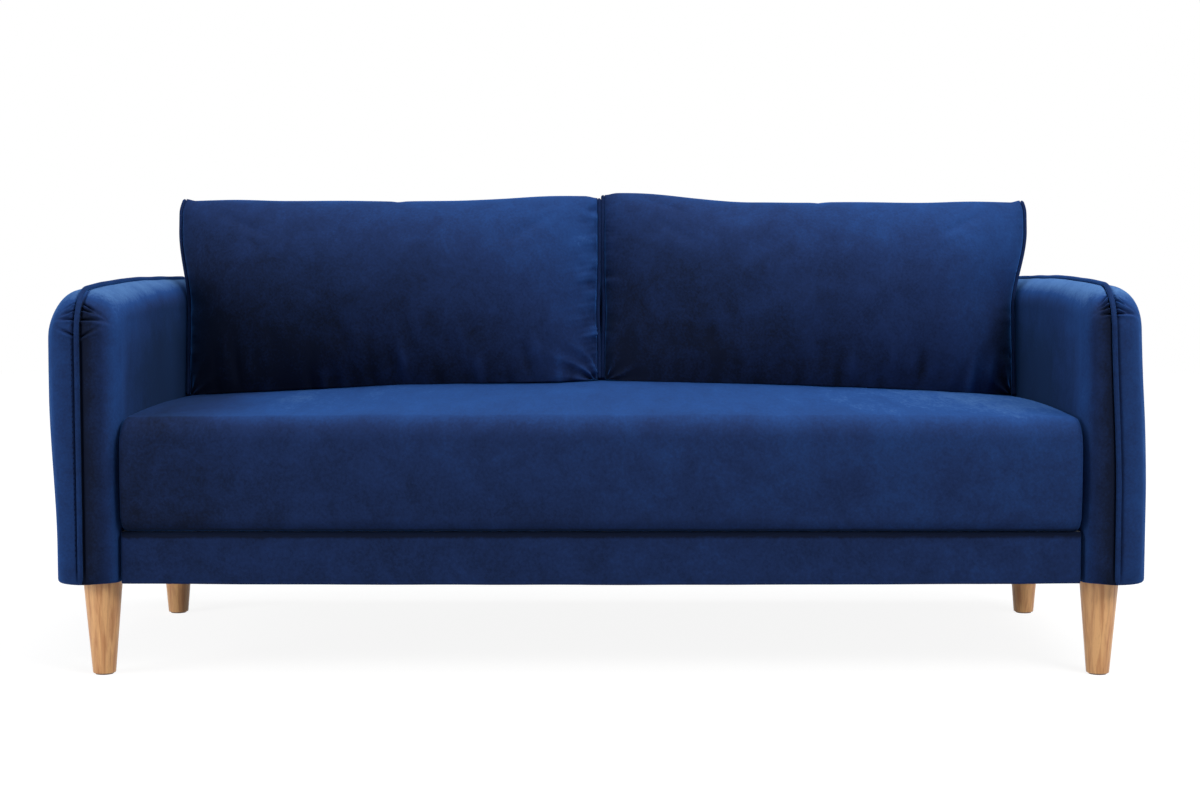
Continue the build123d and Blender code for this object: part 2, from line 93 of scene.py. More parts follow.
class SofaArmSizes(bpy.types.PropertyGroup):
    """Sizes of the padded arms and their piping"""
    middle: length("Middle", "From the sofa's middle to the middle of an arm", 0.852)
    half_thickness: length("Half thickness", "Half of an arm's thickness", 0.055)
    half_depth: length("Half depth", "From the arm's middle to its front seam", 0.421)
    low: length("Underside", "Height of the arm's underside", 0.1595)
    high: length("Top", "Height of the arm's top seam at its ends", 0.650)
    crown: length("Crown", "How far the top rises at its middle", 0.013)
    rear_lift: length("Rear lift", "How far the top keeps up towards the rear", 0.008)
    seam_flat: length("Seam strip", "Half the flat strip under the welt", 0.003)
    corner: length("Corner radius", "Radius of the seam at the top corners", 0.070)
    hem: length("Hem radius", "Rounding of the lower edge", 0.007)
    left_seam: length("Left seam", "From the sofa's middle to the left arm's seam", 0.8580)
    right_seam: length("Right seam", "From the sofa's middle to the right arm's seam", 0.8510)
    left_swell: length("Left swell", "How far the left arm's outer half fills out above", 0.010)
    left_drift: length("Left drift", "How far the left arm's seam wanders inwards to the rear", 0.018)
    left_sink: length("Left sink", "How far the left arm's top has sunk at the front", 0.007)
    right_lean: length("Right lean", "How far the right arm's seam leans in at the top", 0.012)
    pleat: length("Pleat depth", "Depth of the pleats at the top corners", 0.0095)
    left_pleats: pleat_angles("Left pleats", "Places of the left arm's pleats", (-0.06, 0.37, 0.64, 0.86))
    right_pleats: pleat_angles("Right pleats", "Places of the right arm's pleats", (0.40, 0.60, 0.80, 1.00))
    bulge: length("Bulge", "How far the front swells on both sides of the welt", 0.0085)
    crease: length("Crease depth", "Depth of the crease beside the welt", 0.0055)
    welt: length("Welt radius", "Radius of the piping", 0.0043)
    welt_rise: length("Welt rise", "How far the piping's middle stands out of the seam", 0.0014)
    stitch_pitch: length("Stitch pitch", "From one stitch beside the welt to the next", 0.0085)
    stitch_length: length("Stitch length", "Length of a stitch", 0.0045)


class SofaSeatSizes(bpy.types.PropertyGroup):
    """Sizes of the bench seat and the apron under it"""
    half_width: length("Half width", "From the middle to an end of the seat", 0.7960)
    front: length("Front", "Place of the seat's front face", -0.407)
    rear: length("Rear", "Place of the seat's rear face", 0.190)
    low: length("Underside", "Height of the seat's underside", 0.246)
    edge: length("Edge height", "Height of the top at the ends", 0.435)
    front_crown: length("Front crown", "Rise of the front edge at the middle", 0.002)
    rear_crown: length("Rear crown", "Rise of the rear at the middle", 0.033)
    end_round: length("End rounding", "Rounding of the upright end edges", 0.012)
    apron_front: length("Apron front", "Place of the apron's face", -0.3975)
    apron_low: length("Apron underside", "Height of the apron's lower edge at its ends", 0.1595)
    apron_sag: length("Apron sag", "How far the lower edge sags at the middle", 0.0040)


class SofaBackSizes(bpy.types.PropertyGroup):
    """Sizes of the padded back rest"""
    half_width: length("Half width", "From the middle to an end of the back rest", 0.7968)
    end_swell: length("End swell", "How far the ends stand out where the arms leave them clear", 0.0030)
    front_low: length("Front foot", "Place of the front face at the seat deck", 0.1940)
    front_high: length("Front head", "Place of the front face at the top", 0.2630)
    rear: length("Rear", "Place of the rear face", 0.4140)
    inner: length("Inner face", "Place of the lower part's inner face", 0.3245)
    deck: length("Deck", "Height of the seat deck", 0.2470)
    high: length("Top", "Height of the back rest", 0.740)
    low: length("Underside", "Height of the lower edge", 0.1600)


class SofaCushionSizes(bpy.types.PropertyGroup):
    """Sizes of the loose back cushions, along and across their lean"""
    seat: length("Foot height", "Height where the cushion's middle plane starts", 0.412)
    foot: length("Foot place", "Place of the middle plane at that height", 0.1434)
    lean: degrees("Lean", "Angle the cushions lean back", 8)
    inner: length("Inner seam", "From the sofa's middle to a cushion's inner piping", 0.0036)
    outer: length("Outer seam", "From the middle to the outer piping between the arms", 0.7900)
    left_flare: length("Left flare", "How far the left cushion's outer seam spreads over the arm", 0.0190)
    right_flare: length("Right flare", "How far the right cushion's outer seam spreads over the arm", 0.0265)
    shoulder: length("Shoulder", "How far up the outer seam starts to spread", 0.190)
    draw_in: length("Draw-in", "How far the inner seam pulls in at its middle", 0.0025)
    crown: length("Crown", "How far the front swells at its middle", 0.022)
    height: length("Height", "Length of the cushion along its lean", 0.402)
    top_crown: length("Top crown", "How far the top rises between the seams", 0.007)
    half_thickness: length("Half thickness", "Half the cushion's thickness", 0.0720)
    roll: length("Side roll", "How far the side rolls reach from a seam", 0.150)
    welt: length("Welt radius", "Radius of the piping", 0.0040)


class SofaFinishes(bpy.types.PropertyGroup):
    """Colours of the velvet and the wood"""
    # The velvet's tones. The dark and light ones give both the pile's own mottling and painted shade and
    # painted light, and the brightest is a painted highlight on the tops and rolls of the arms and the seat.
    pile_dark_and_painted_shade: colour("Pile, dark", "Velvet where the pile leans towards the eye", "#12192c")
    pile_mid: colour("Pile, middle", "Velvet's usual colour", "#1c2d55")
    pile_light_and_painted_light: colour("Pile, light", "Velvet where the pile leans away", "#214076")
    painted_highlight_colour: colour("Pile, bright", "Velvet where the pile is brushed flat", "#486c9e")
    sheen: colour("Sheen", "Colour of the light along the pile tips", "#4796ff")
    beech: colour("Beech", "The legs' wood", "#e2ad74")
    beech_grain: colour("Beech grain", "Darker grain in the wood", "#bd8050")


class SofaStageSettings(bpy.types.PropertyGroup):
    """Place and lens of the camera"""
    distance: length("Camera distance", "From the sofa's middle to the camera", 3.784)
    eye: length("Camera height", "Height of the camera", 0.691)
    tilt: degrees("Tilt", "How far the camera looks down", 3.81)
    turn: degrees("Turn", "How far the camera looks to the left", 0.028)
    lens: bpy.props.FloatProperty(
        name="Lens", description="Focal length on a 36 mm sensor", default=61.7, min=10, unit="CAMERA")


# Shapes and meshes

def unit(vectors):
    """Vectors divided by their own lengths."""
    return vectors / np.maximum(np.linalg.norm(vectors, axis=-1, keepdims=True), 1e-12)


def ease(values):
    """A smooth step from 0 to 1: 3t^2 - 2t^3 of the value held between 0 and 1."""
    held = np.clip(values, 0, 1)
    return held * held * (3 - 2 * held)


def bell(values):
    """A bell curve: e to the power of minus the value's square."""
    return np.exp(-(values**2))


def distances(path):
    """How far along a path each of its points lies."""
    return np.concatenate([[0], np.cumsum(np.linalg.norm(np.diff(path, axis=0), axis=1))])


def soft_noise(points, size, seed):
    """The mean of eight sine waves in seeded directions, with wavelengths near the given size."""
    rng = np.random.default_rng(seed)
    ways = unit(rng.normal(size=(8, 3))) / (size * rng.uniform(0.7, 1.7, (8, 1)))
    phases = rng.uniform(0, 2 * pi, 8)
    return np.sin(2 * pi * points @ ways.T + phases).mean(axis=-1) * 1.6


def grid_normals(points):
    """Unit normals of a grid with closed rows: the cross product of its differences both ways. They all point
    outwards or all inwards."""
    along = np.gradient(points, axis=0)
    around = np.roll(points, -1, axis=1) - np.roll(points, 1, axis=1)
    return unit(np.cross(around, along))


def rounded_sections(x, corners, radii, arc_steps, side_steps):
    """Closed sections with rounded corners at stations across the width, from the (y, z) places of their
    corners. Each corner becomes a circular arc, written as a rational quadratic curve with the sine of half
    the corner's angle as its weight, then a straight run."""
    corners = np.stack([np.stack(np.broadcast_arrays(y, z, x)[:2], axis=-1) for y, z in corners], axis=1)
    before, after = np.roll(corners, 1, axis=1), np.roll(corners, -1, axis=1)
    to_before, to_after = unit(before - corners), unit(after - corners)
    half_angle = np.arccos(np.clip((to_before * to_after).sum(-1), -1, 1)) / 2
    reach = (np.asarray(radii) / np.tan(half_angle))[..., None]
    start, end = corners + to_before * reach, corners + to_after * reach
    weight = np.sin(half_angle)[..., None, None]
    t = np.linspace(0, 1, arc_steps)[:, None]
    shares = (1 - t) ** 2, 2 * weight * t * (1 - t), t**2
    arcs = shares[0] * start[:, :, None] + shares[1] * corners[:, :, None] + shares[2] * end[:, :, None]
    arcs = arcs / (shares[0] + shares[1] + shares[2])
    s = np.linspace(0, 1, side_steps + 2)[1:-1, None]
    sides = end[:, :, None] + (np.roll(start, -1, axis=1) - end)[:, :, None] * s
    sections = np.concatenate([arcs, sides], axis=2).reshape(len(x), -1, 2)
    return np.concatenate([np.repeat(x[:, None, None], sections.shape[1], 1), sections], axis=-1)


def loft_faces(rows, columns):
    """Quads between neighbouring closed rows of a grid."""
    row, column = np.meshgrid(np.arange(rows - 1), np.arange(columns), indexing="ij")
    following = (column + 1) % columns
    quads = (row * columns + column, row * columns + following,
             (row + 1) * columns + following, (row + 1) * columns + column)
    return np.stack(quads, axis=-1).reshape(-1, 4)


def cap_faces(first, columns):
    """Quads that close a row by joining each point with the one across from it."""
    near = np.arange(columns // 2 - 1)
    far = columns - 1 - near
    return first + np.stack((near, near + 1, far - 1, far), axis=-1)


def closed_loft(points):
    """The faces of a grid with closed rows and a cap at each end."""
    rows, columns = points.shape[:2]
    last = (rows - 1) * columns
    return [loft_faces(rows, columns), cap_faces(0, columns)[:, ::-1], cap_faces(last, columns)]


def make_piece(name, points, finish, levels=1, nap=0.5, faces=None):
    """Puts points and faces, or a grid with closed rows, into a mesh object whose faces point outwards, found
    from its signed volume. The painted shading is light and shade painted into the velvet's colour at each
    point: 0 is painted shade, 0.5 the plain colour, 1 painted light and 1.5 a painted highlight."""
    faces = faces or closed_loft(points)
    points = np.asarray(points, dtype=np.float32).reshape(-1, 3)
    fans = [np.stack((f[:, [0] * (f.shape[1] - 2)], f[:, 1:-1], f[:, 2:]), -1).reshape(-1, 3) for f in faces]
    a, b, c = (points[np.concatenate(fans)[:, k]].astype(float) for k in range(3))
    if np.einsum("ij,ij->i", a, np.cross(b, c)).sum() < 0:
        faces = [f[:, ::-1] for f in faces]
    corners = np.concatenate([f.ravel() for f in faces]).astype(np.int32)
    sizes = np.concatenate([np.full(len(f), f.shape[1]) for f in faces])
    starts = (np.cumsum(sizes) - sizes).astype(np.int32)
    mesh = bpy.data.meshes.new(name)
    mesh.vertices.add(len(points))
    mesh.vertices.foreach_set("co", points.ravel())
    mesh.loops.add(len(corners))
    mesh.loops.foreach_set("vertex_index", corners)
    mesh.polygons.add(len(starts))
    mesh.polygons.foreach_set("loop_start", starts)
    mesh.polygons.foreach_set("use_smooth", np.ones(len(starts), dtype=bool))
    mesh.update(calc_edges=True)
    mesh.validate()
    mesh.materials.append(finish_material(finish))
    # The painted light and shade go into a point attribute that the velvet's colour reads.
    painted_values = np.broadcast_to(nap, len(points)) if np.ndim(nap) == 0 else np.asarray(nap).ravel()
    mesh.attributes.new("nap", "FLOAT", "POINT").data.foreach_set("value", painted_values.astype(np.float32))
    piece = bpy.data.objects.new(name, mesh)
    bpy.context.scene.collection.objects.link(piece)
    if levels:
        smoother = piece.modifiers.new("Smooth", "SUBSURF")
        smoother.levels = smoother.render_levels = levels
    return piece


def coordinates(mesh):
    """A mesh's vertices as an array."""
    flat = np.empty(3 * len(mesh.vertices), dtype=np.float32)
    mesh.vertices.foreach_get("co", flat)
    return flat.reshape(-1, 3).astype(float)


def weight_group(piece, name, weights, steps=8):
    """A vertex group of weights between 0 and 1, rounded to a few steps."""
    group = piece.vertex_groups.new(name=name)
    level = np.round(np.clip(weights, 0, 1).ravel() * steps).astype(int)
    for step in range(1, steps + 1):
        group.add(np.flatnonzero(level == step).tolist(), step / steps, "REPLACE")


def plump(piece, held, loose, pressure, slack, cap, frames=20):
    """Blows a closed cover up as cloth: air pressure without gravity, held where the weights say so, with
    spare cloth near the seams that puckers. No point ends further from its start than the cap."""
    scene = bpy.context.scene
    before = coordinates(piece.data)
    weight_group(piece, "held", held, steps=1)
    weight_group(piece, "loose", loose)
    cloth = piece.modifiers.new("Plump", "CLOTH")
    settings = cloth.settings
    settings.quality, settings.mass, settings.air_damping = 6, 0.3, 2.0
    settings.tension_stiffness = settings.compression_stiffness = 18
    settings.shear_stiffness, settings.bending_stiffness = 6, 0.4
    settings.use_pressure, settings.uniform_pressure_force = True, pressure
    settings.vertex_group_mass, settings.vertex_group_shrink = "held", "loose"
    settings.shrink_min, settings.shrink_max = 0.0, -slack
    settings.effector_weights.gravity = 0
    cloth.collision_settings.use_collision = False
    cloth.point_cache.frame_start, cloth.point_cache.frame_end = 1, frames
    for frame_number in range(1, frames + 1):
        scene.frame_set(frame_number)
    after = coordinates(piece.evaluated_get(bpy.context.evaluated_depsgraph_get()).data)
    piece.modifiers.remove(cloth)
    piece.vertex_groups.clear()
    scene.frame_set(1)
    move = after - before
    move *= np.minimum(1, cap / np.maximum(np.linalg.norm(move, axis=-1, keepdims=True), 1e-9))
    return before + move


def spline_weights(places, count, closed):
    """Weights of cubic B-splines, one row for each place on a line of evenly spaced values, so that a coarse
    row of values turns into a smooth fine one by a matrix product."""
    first = np.floor(places).astype(int)
    f = places - first
    taps = (1 - f) ** 3 / 6, (3 * f**3 - 6 * f**2 + 4) / 6, (-3 * f**3 + 3 * f**2 + 3 * f + 1) / 6, f**3 / 6
    weights = np.zeros((len(places), count))
    for step, tap in enumerate(taps):
        column = first + step - 1
        column = column % count if closed else np.clip(column, 0, count - 1)
        np.add.at(weights, (np.arange(len(places)), column), tap)
    return weights


def tube(name, path, binormal, radius, finish, nap=0.5, sides=12):
    """A round cord along a flat path: a circle in the plane of the path's normal and a fixed binormal. Near
    both ends the circle shrinks as that of a ball."""
    tangent = unit(np.gradient(path, axis=0))
    run = distances(path)
    near = np.clip(np.minimum(run, run[-1] - run) / radius, 0.04, 1)
    radius = radius * np.sqrt(1 - (1 - near) ** 2)[:, None, None]
    normal = unit(np.cross(binormal, tangent))
    turn = (np.arange(sides) + 0.5) * 2 * pi / sides
    ring = normal[:, None] * np.cos(turn)[:, None] + np.asarray(binormal) * np.sin(turn)[:, None]
    points = path[:, None] + radius * ring
    return make_piece(name, points, finish, nap=nap)


# Materials

def add_node(tree, kind, inputs=None, **settings):
    """Adds a node, with its settings and with its inputs filled in or linked."""
    node = tree.nodes.new(kind)
    for key, value in settings.items():
        setattr(node, key, value)
    for key, value in (inputs or {}).items():
        if isinstance(value, bpy.types.NodeSocket):
            tree.links.new(value, node.inputs[key])
        else:
            node.inputs[key].default_value = value
    return node


def blank_material(name):
    """A material with an empty tree and its output, and the surface's own coordinates."""
    material = bpy.data.materials.new(name)
    material.use_nodes = True
    tree = material.node_tree
    tree.nodes.clear()
    output = add_node(tree, "ShaderNodeOutputMaterial")
    place = add_node(tree, "ShaderNodeTexCoord").outputs["Object"]
    return material, tree, output, place


def ramp(tree, factor, stops):
    """A colour ramp through (position, colour) stops."""
    node = add_node(tree, "ShaderNodeValToRGB", {"Fac": factor})
    while len(node.color_ramp.elements) < len(stops):
        node.color_ramp.elements.new(1.0)
    for element, (position, tint) in zip(node.color_ramp.elements, stops):
        element.position = position
        element.color = tint
    return node.outputs["Color"]


def noise(tree, place, scale, detail, roughness=0.5, distortion=0.0):
    """The shade of a cloudy pattern."""
    return add_node(tree, "ShaderNodeTexNoise", {
        "Vector": place, "Scale": scale, "Detail": detail, "Roughness": roughness,
        "Distortion": distortion}).outputs["Fac"]


def scaled(tree, place, scale):
    """Coordinates with each axis scaled on its own."""
    return add_node(tree, "ShaderNodeMapping", {"Vector": place, "Scale": scale}).outputs["Vector"]


def surface(tree, output, tint, relief, inputs):
    """Joins a Principled surface to the output: its colour, its relief as a bump's height, strength and
    distance, and its other inputs."""
    height, strength, distance = relief
    bump = add_node(tree, "ShaderNodeBump", {"Height": height, "Strength": strength, "Distance": distance})
    shader = add_node(tree, "ShaderNodeBsdfPrincipled", {
        "Base Color": tint, "Normal": bump.outputs["Normal"], **inputs})
    tree.links.new(shader.outputs["BSDF"], output.inputs["Surface"])


def velvet(name, finishes, depth=1.0, sheen=0.8, streak=1.0):
    """Cut-pile velvet: a dense dyed pile. It is dark seen straight on and bright along its edges, its colour
    is darkened and lightened by the painted shading, which is light and shade painted into it, and it keeps
    brush marks, which show as cloudy mottling. On the seat the marks run from front to rear, so they are
    drawn longer that way."""
    material, tree, output, place = blank_material(name)
    mottle_size, mottle_share = 0.060, 0.85
    # The pile's tips are about 0.3 mm apart, too fine to show, so they are drawn 4.5 mm apart.
    tip_size, tip_share = 0.0045, 0.50
    flat_nap = 1.5
    place = scaled(tree, place, (1.0, 1 / streak, 1.0))
    mottle = noise(tree, place, 1 / mottle_size, 7.0, roughness=0.74, distortion=0.4)
    tips = noise(tree, place, 1 / tip_size, 3.0, roughness=0.6)
    # Painted light and shade: a tone from 0, painted shade, to 1.5, a painted highlight, with the mottling
    # added to it.
    tone = add_node(tree, "ShaderNodeAttribute", attribute_name="nap").outputs["Fac"]
    for pattern, share in ((mottle, mottle_share), (tips, tip_share)):
        tone = add_node(
            tree, "ShaderNodeMath", {0: pattern, 1: share, 2: tone}, operation="MULTIPLY_ADD").outputs[0]
    middle = (mottle_share + tip_share) / 2
    tone = add_node(tree, "ShaderNodeMapRange", {
        "Value": tone, "From Min": middle, "From Max": middle + flat_nap}).outputs["Result"]
    # The ramp runs from the dark tone, which also gives painted shade, through the usual and light tones to
    # the painted highlight.
    shades = finishes.pile_dark_and_painted_shade, finishes.pile_mid, finishes.pile_light_and_painted_light, finishes.painted_highlight_colour
    stops = [(step / 3, tuple(c * depth for c in shade[:3]) + (1.0,)) for step, shade in enumerate(shades)]
    surface(tree, output, ramp(tree, tone, stops), (tips, 0.25, 0.0006), {
        "Roughness": 0.9, "Specular IOR Level": 0.04,
        "Sheen Weight": sheen, "Sheen Roughness": 0.30, "Sheen Tint": finishes.sheen})
    return material


def beech(name, finishes):
    """Turned beech under clear satin lacquer: a warm ground, long soft grain and short darker flecks."""
    material, tree, output, place = blank_material(name)
    grain_place = scaled(tree, place, (1 / 0.007, 1 / 0.007, 1 / 0.120))
    grain = noise(tree, grain_place, 1.0, 4.0, distortion=0.5)
    fleck_place = scaled(tree, place, (1 / 0.0015, 1 / 0.0015, 1 / 0.010))
    flecks = noise(tree, fleck_place, 1.0, 1.0)
    ground = ramp(tree, grain, ((0.35, finishes.beech_grain), (0.62, finishes.beech)))
    fleck_share = ramp(tree, flecks, ((0.60, (0, 0, 0, 1)), (0.75, (0.35, 0.35, 0.35, 1))))
    tint = add_node(tree, "ShaderNodeMix", {
        "Factor": fleck_share, 6: ground, 7: finishes.beech_grain}, data_type="RGBA").outputs[2]
    surface(tree, output, tint, (grain, 0.15, 0.0004), {
        "Roughness": 0.42, "Coat Weight": 0.15, "Coat Roughness": 0.3})
    return material


def plain(name, base, spread, size, roughness, metallic=0.0, bump_depth=0.0002, shine=0.5):
    """A plain stock such as timber, steel, felt or nylon: slightly rough, in two tones of patches of a given
    size."""
    material, tree, output, place = blank_material(name)
    patches = noise(tree, place, 1 / size, 4.0, roughness=0.6)
    tint = ramp(tree, patches, ((0.35, linear(base)), (0.65, linear(spread))))
    surface(tree, output, tint, (patches, 0.3, bump_depth), {
        "Roughness": roughness, "Metallic": metallic, "Specular IOR Level": shine})
    return material


def finish_material(kind):
    """Finds a finish by name, or makes it the first time it is asked for."""
    found = bpy.data.materials.get(kind)
    if found:
        return found
    finishes = bpy.context.scene.sofa_finishes
    makers = {
        "velvet_pile": lambda: velvet(kind, finishes),
        "velvet_seat": lambda: velvet(kind, finishes, sheen=0.25, streak=4.5),
        "velvet_brushed_down": lambda: velvet(kind, finishes, sheen=0.18),
        "velvet_piping": lambda: velvet(kind, finishes, depth=0.8, sheen=0.45),
        "thread_navy": lambda: plain(kind, "#0a0e1c", "#0f1526", 0.002, 0.8, shine=0.05),
        "beech_lacquered": lambda: beech(kind, finishes),
        "nylon_brown": lambda: plain(kind, "#5d4634", "#6b523d", 0.004, 0.55),
        "cloth_non_woven": lambda: plain(kind, "#1a1a1c", "#29292c", 0.003, 0.9, bump_depth=0.0005),
        "pine_sawn": lambda: plain(kind, "#c9a77a", "#b58f60", 0.030, 0.75),
        "hardboard": lambda: plain(kind, "#6b4a30", "#7d5a3b", 0.006, 0.7),
        "steel_zinc": lambda: plain(kind, "#b4b7ba", "#9a9da1", 0.010, 0.35, metallic=1.0),
        "felt_grey": lambda: plain(kind, "#8a8a88", "#6f6f70", 0.004, 0.95, bump_depth=0.0006),
        "webbing_woven": lambda: plain(kind, "#8a7455", "#6d5a40", 0.003, 0.9, bump_depth=0.0004),
    }
    return makers[kind]()


# Pieces

def arm_place(sizes, side, across, y, z):
    """Sets points of an arm in the room. Across is their place outside the seam, as if the seam were in the
    arm's middle: each half is stretched between the seam and its own side face. The left arm's outer half
    fills out higher up and its top has sunk towards the front, and the right arm's seam and outer half lean
    in, all as smooth steps of the height. The left seam wanders inwards to the rear."""
    outer, inner = np.maximum(across, 0) / sizes.half_thickness, np.minimum(across, 0) / sizes.half_thickness
    seam = sizes.left_seam - sizes.left_drift * ease((y + 0.25) / 0.60) if side < 0 else sizes.right_seam
    far, near = sizes.middle + sizes.half_thickness, sizes.middle - sizes.half_thickness
    x = seam + outer * (far - seam) + inner * (seam - near)
    if side < 0:
        full = ease((z - 0.22) / 0.25) * (1 - 0.7 * ease((z - 0.57) / 0.07))
        x = x + sizes.left_swell * full * outer
        z = z - sizes.left_sink * (0.5 - 0.5 * y / sizes.half_depth) * ease((z - 0.40) / 0.22)
    else:
        x = x - sizes.right_lean * ease((z - 0.30) / 0.33) * (1 + inner)
    return np.stack([side * x, y, z], axis=-1)


def arm_crown(sizes, y, z):
    """How far the arm's top rises: a parabola along the arm, held up towards the rear and slightly wavy. It
    grows with the square of the height."""
    along = y / sizes.half_depth
    waves = 0.0010 * soft_noise(np.stack([0 * y, y, 0 * y], axis=-1), 0.12, 9)
    rise = sizes.crown * (1 - along**2) + sizes.rear_lift * np.maximum(along, 0) ** 2 + waves * (1 - along**4)
    return rise * ((z - sizes.low) / (sizes.high - sizes.low)) ** 2


def arm_points(sizes):
    """The arm as level slices of a stadium: places across, along and up. At a distance d inside the seam's
    outline the half thickness is flat + sqrt(R^2 - (R - d)^2). The outline's top corners are arcs, so a slice
    above the corner's centre starts where the arc of radius (corner - d) crosses that height. The top then
    rises as a parabola, and the hem waves a little."""
    roll = sizes.half_thickness - sizes.seam_flat
    bend_low = sizes.high - sizes.corner
    hem = np.radians(np.linspace(0, 90, 5))
    close_low = bend_low - 0.03
    straight = np.linspace(sizes.low + sizes.hem, close_low, 34)[1:]
    close = np.linspace(close_low, bend_low, 26)[1:]
    bend = bend_low + sizes.corner * np.sin(np.radians(np.linspace(0, 90, 112)))[1:]
    z = np.concatenate([sizes.low + sizes.hem * (1 - np.cos(hem)), straight, close, bend])
    shrink = np.concatenate([sizes.hem * (1 - np.sin(hem)), np.zeros(len(z) - len(hem))])
    rise = np.maximum(z - bend_low, 0)[:, None]
    depth = np.minimum(roll, sizes.high - z)[:, None]
    least = np.arcsin(np.clip(1 - depth / roll, 0, 1))
    psi = least + (pi / 2 - least) * (1 - np.linspace(0, 1, 36) ** 1.4)
    d = roll * (1 - np.sin(psi))
    thick = sizes.seam_flat + roll * np.cos(psi) - shrink[:, None]
    arc_y = -sizes.half_depth + sizes.corner - np.sqrt(np.maximum((sizes.corner - d) ** 2 - rise**2, 0))
    arc_y = arc_y + shrink[:, None]
    run = np.linspace(0, 1, 42)[1:-1]
    run_y = arc_y[:, -1:] * (1 - 2 * run)
    outer_y = np.concatenate([arc_y, run_y, -arc_y[:, ::-1]], axis=1)
    outer_x = np.concatenate([thick, np.repeat(thick[:, -1:], len(run), 1), thick[:, ::-1]], axis=1)
    y = np.concatenate([outer_y, outer_y[:, ::-1]], axis=1)
    across = np.concatenate([outer_x, -outer_x[:, ::-1]], axis=1)
    height = np.repeat(z[:, None], y.shape[1], 1)
    height = height + arm_crown(sizes, y, height)
    hem_wave = soft_noise(np.stack([across, y, 0 * y], axis=-1), 0.045, 7)
    height = height + 0.0012 * hem_wave * ease((0.03 + sizes.low - height) / 0.03)
    return across, y, height


def arm_seam(sizes, count=220):
    """The arm's seam in even steps: up the front, round a corner arc, along the top and down the rear."""
    bend = np.radians(np.linspace(0, 90, 40))
    low, top, edge = sizes.low + 0.001, sizes.high + sizes.welt_rise, sizes.half_depth + sizes.welt_rise
    corner = sizes.corner + sizes.welt_rise
    y = np.concatenate([[-edge], -edge + corner - corner * np.cos(bend)])
    z = np.concatenate([[low], top - corner + corner * np.sin(bend)])
    y, z = np.concatenate([y, -y[::-1]]), np.concatenate([z, z[::-1]])
    run = np.concatenate([[0], np.cumsum(np.hypot(np.diff(y), np.diff(z)))])
    even = np.linspace(0, run[-1], count)
    y, z = np.interp(even, run, y), np.interp(even, run, z)
    return y, z + arm_crown(sizes, y, z)


def arm_away(sizes, across, y, z):
    """How far points of an arm lie from its seam along the roll, and their angle round the top corner."""
    roll = sizes.half_thickness - sizes.seam_flat
    rise, run = z - sizes.high + sizes.corner, np.abs(y) - sizes.half_depth + sizes.corner
    angle, radius = np.arctan2(rise, run), np.hypot(rise, run)
    radius = np.where(rise < 0, run, np.where(run < 0, rise, radius))
    beside = np.maximum(np.abs(across) - sizes.seam_flat, 0)
    return roll * np.arctan2(beside, np.maximum(radius - sizes.corner + roll, 0)), angle


def arm_pleats(sizes, across, y, z, angles, seed):
    """How far the arm's cover moves along its normal, and a weight of its folds that sets painted shade:
    darker in the grooves and the crease, lighter on the lips. Each pleat at a top corner is a groove with a
    lip under it: two bell curves in the corner's angle that start beside the seam, slant and die out some 25
    mm away. The front swells on both sides of the welt, a crease runs beside it, deeper on the inner side,
    and the padding is a little uneven."""
    rng = np.random.default_rng(seed)
    away, angle = arm_away(sizes, across, y, z)
    group = 2 * (across > 0) + (y > 0)
    centres = np.array(angles) + rng.uniform(-0.04, 0.04, (4, 4))
    slants = 9 - 21 * (centres + 0.06) + rng.uniform(-1.5, 1.5, (4, 4))
    strengths = rng.uniform(0.75, 1.0, (4, 4))
    reach = rng.uniform(0.016, 0.028, (4, 4))
    far = away[..., None]
    offset = angle[..., None] - centres[group] - slants[group] * far
    width = 0.024 + 0.9 * far
    fade = bell(far / reach[group]) * strengths[group] * ease(far / 0.003)
    grooves = (bell(offset / width) * fade).sum(axis=-1)
    lips = (bell((offset + 1.9 * width) / (1.3 * width)) * fade).sum(axis=-1)
    above = ease((z - sizes.low) / 0.03)
    crease = bell((away - 0.0020) / 0.0024) * above * np.where(across < 0, 1.0, 0.5)
    swell = bell((away - 0.027) / 0.016) * (1 - ease(angle / 1.1)) * above
    spots = np.stack([across, y, z], axis=-1)
    padding = 0.0012 * soft_noise(spots, 0.22, seed + 5) + 0.0003 * soft_noise(spots, 0.09, seed + 6)
    move = padding * ease(away / 0.03) + sizes.bulge * swell - sizes.crease * crease
    return move - sizes.pleat * (grooves - 0.55 * lips), 0.5 * grooves - 0.2 * lips + 0.6 * crease


def arm_nap(sizes, side, across, y, z, outward):
    """Painted light and shade on an arm. On the inner half painted shade lies beside the welt and painted
    light over the front roll, then painted shade deepens again along the inner face, towards the rear and
    lower down, lifted near its top, and at the rear end the colour goes back to plain. On the outer half the
    painted light grows towards the side. Wherever the surface turns up it gets a painted highlight, as a
    smooth step of its normal's upward part, less in front."""
    away = arm_away(sizes, across, y, z)[0]
    roll = -0.05 + 0.93 * ease(away / 0.066)
    face = (0.52 if side > 0 else 0.48) - 0.47 * ease((y + 0.36) / 0.30)
    face = face + 0.20 * ease((z - 0.54) / 0.06) - 0.12 * ease((0.58 - z) / 0.12)
    inner = roll + (face - roll) * ease((y + 0.40) / 0.09)
    inner = inner + (0.5 - inner) * ease((y - 0.34) / 0.06)
    outer = 0.66 + 0.50 * ease((away - 0.010) / 0.060)
    beside = np.where(across < 0, inner, outer)
    up = np.maximum(outward[..., 2] - 0.45 * np.abs(outward[..., 1]), 0)
    return beside + (1.45 - beside) * ease(up / (0.95 if side < 0 else 0.75))


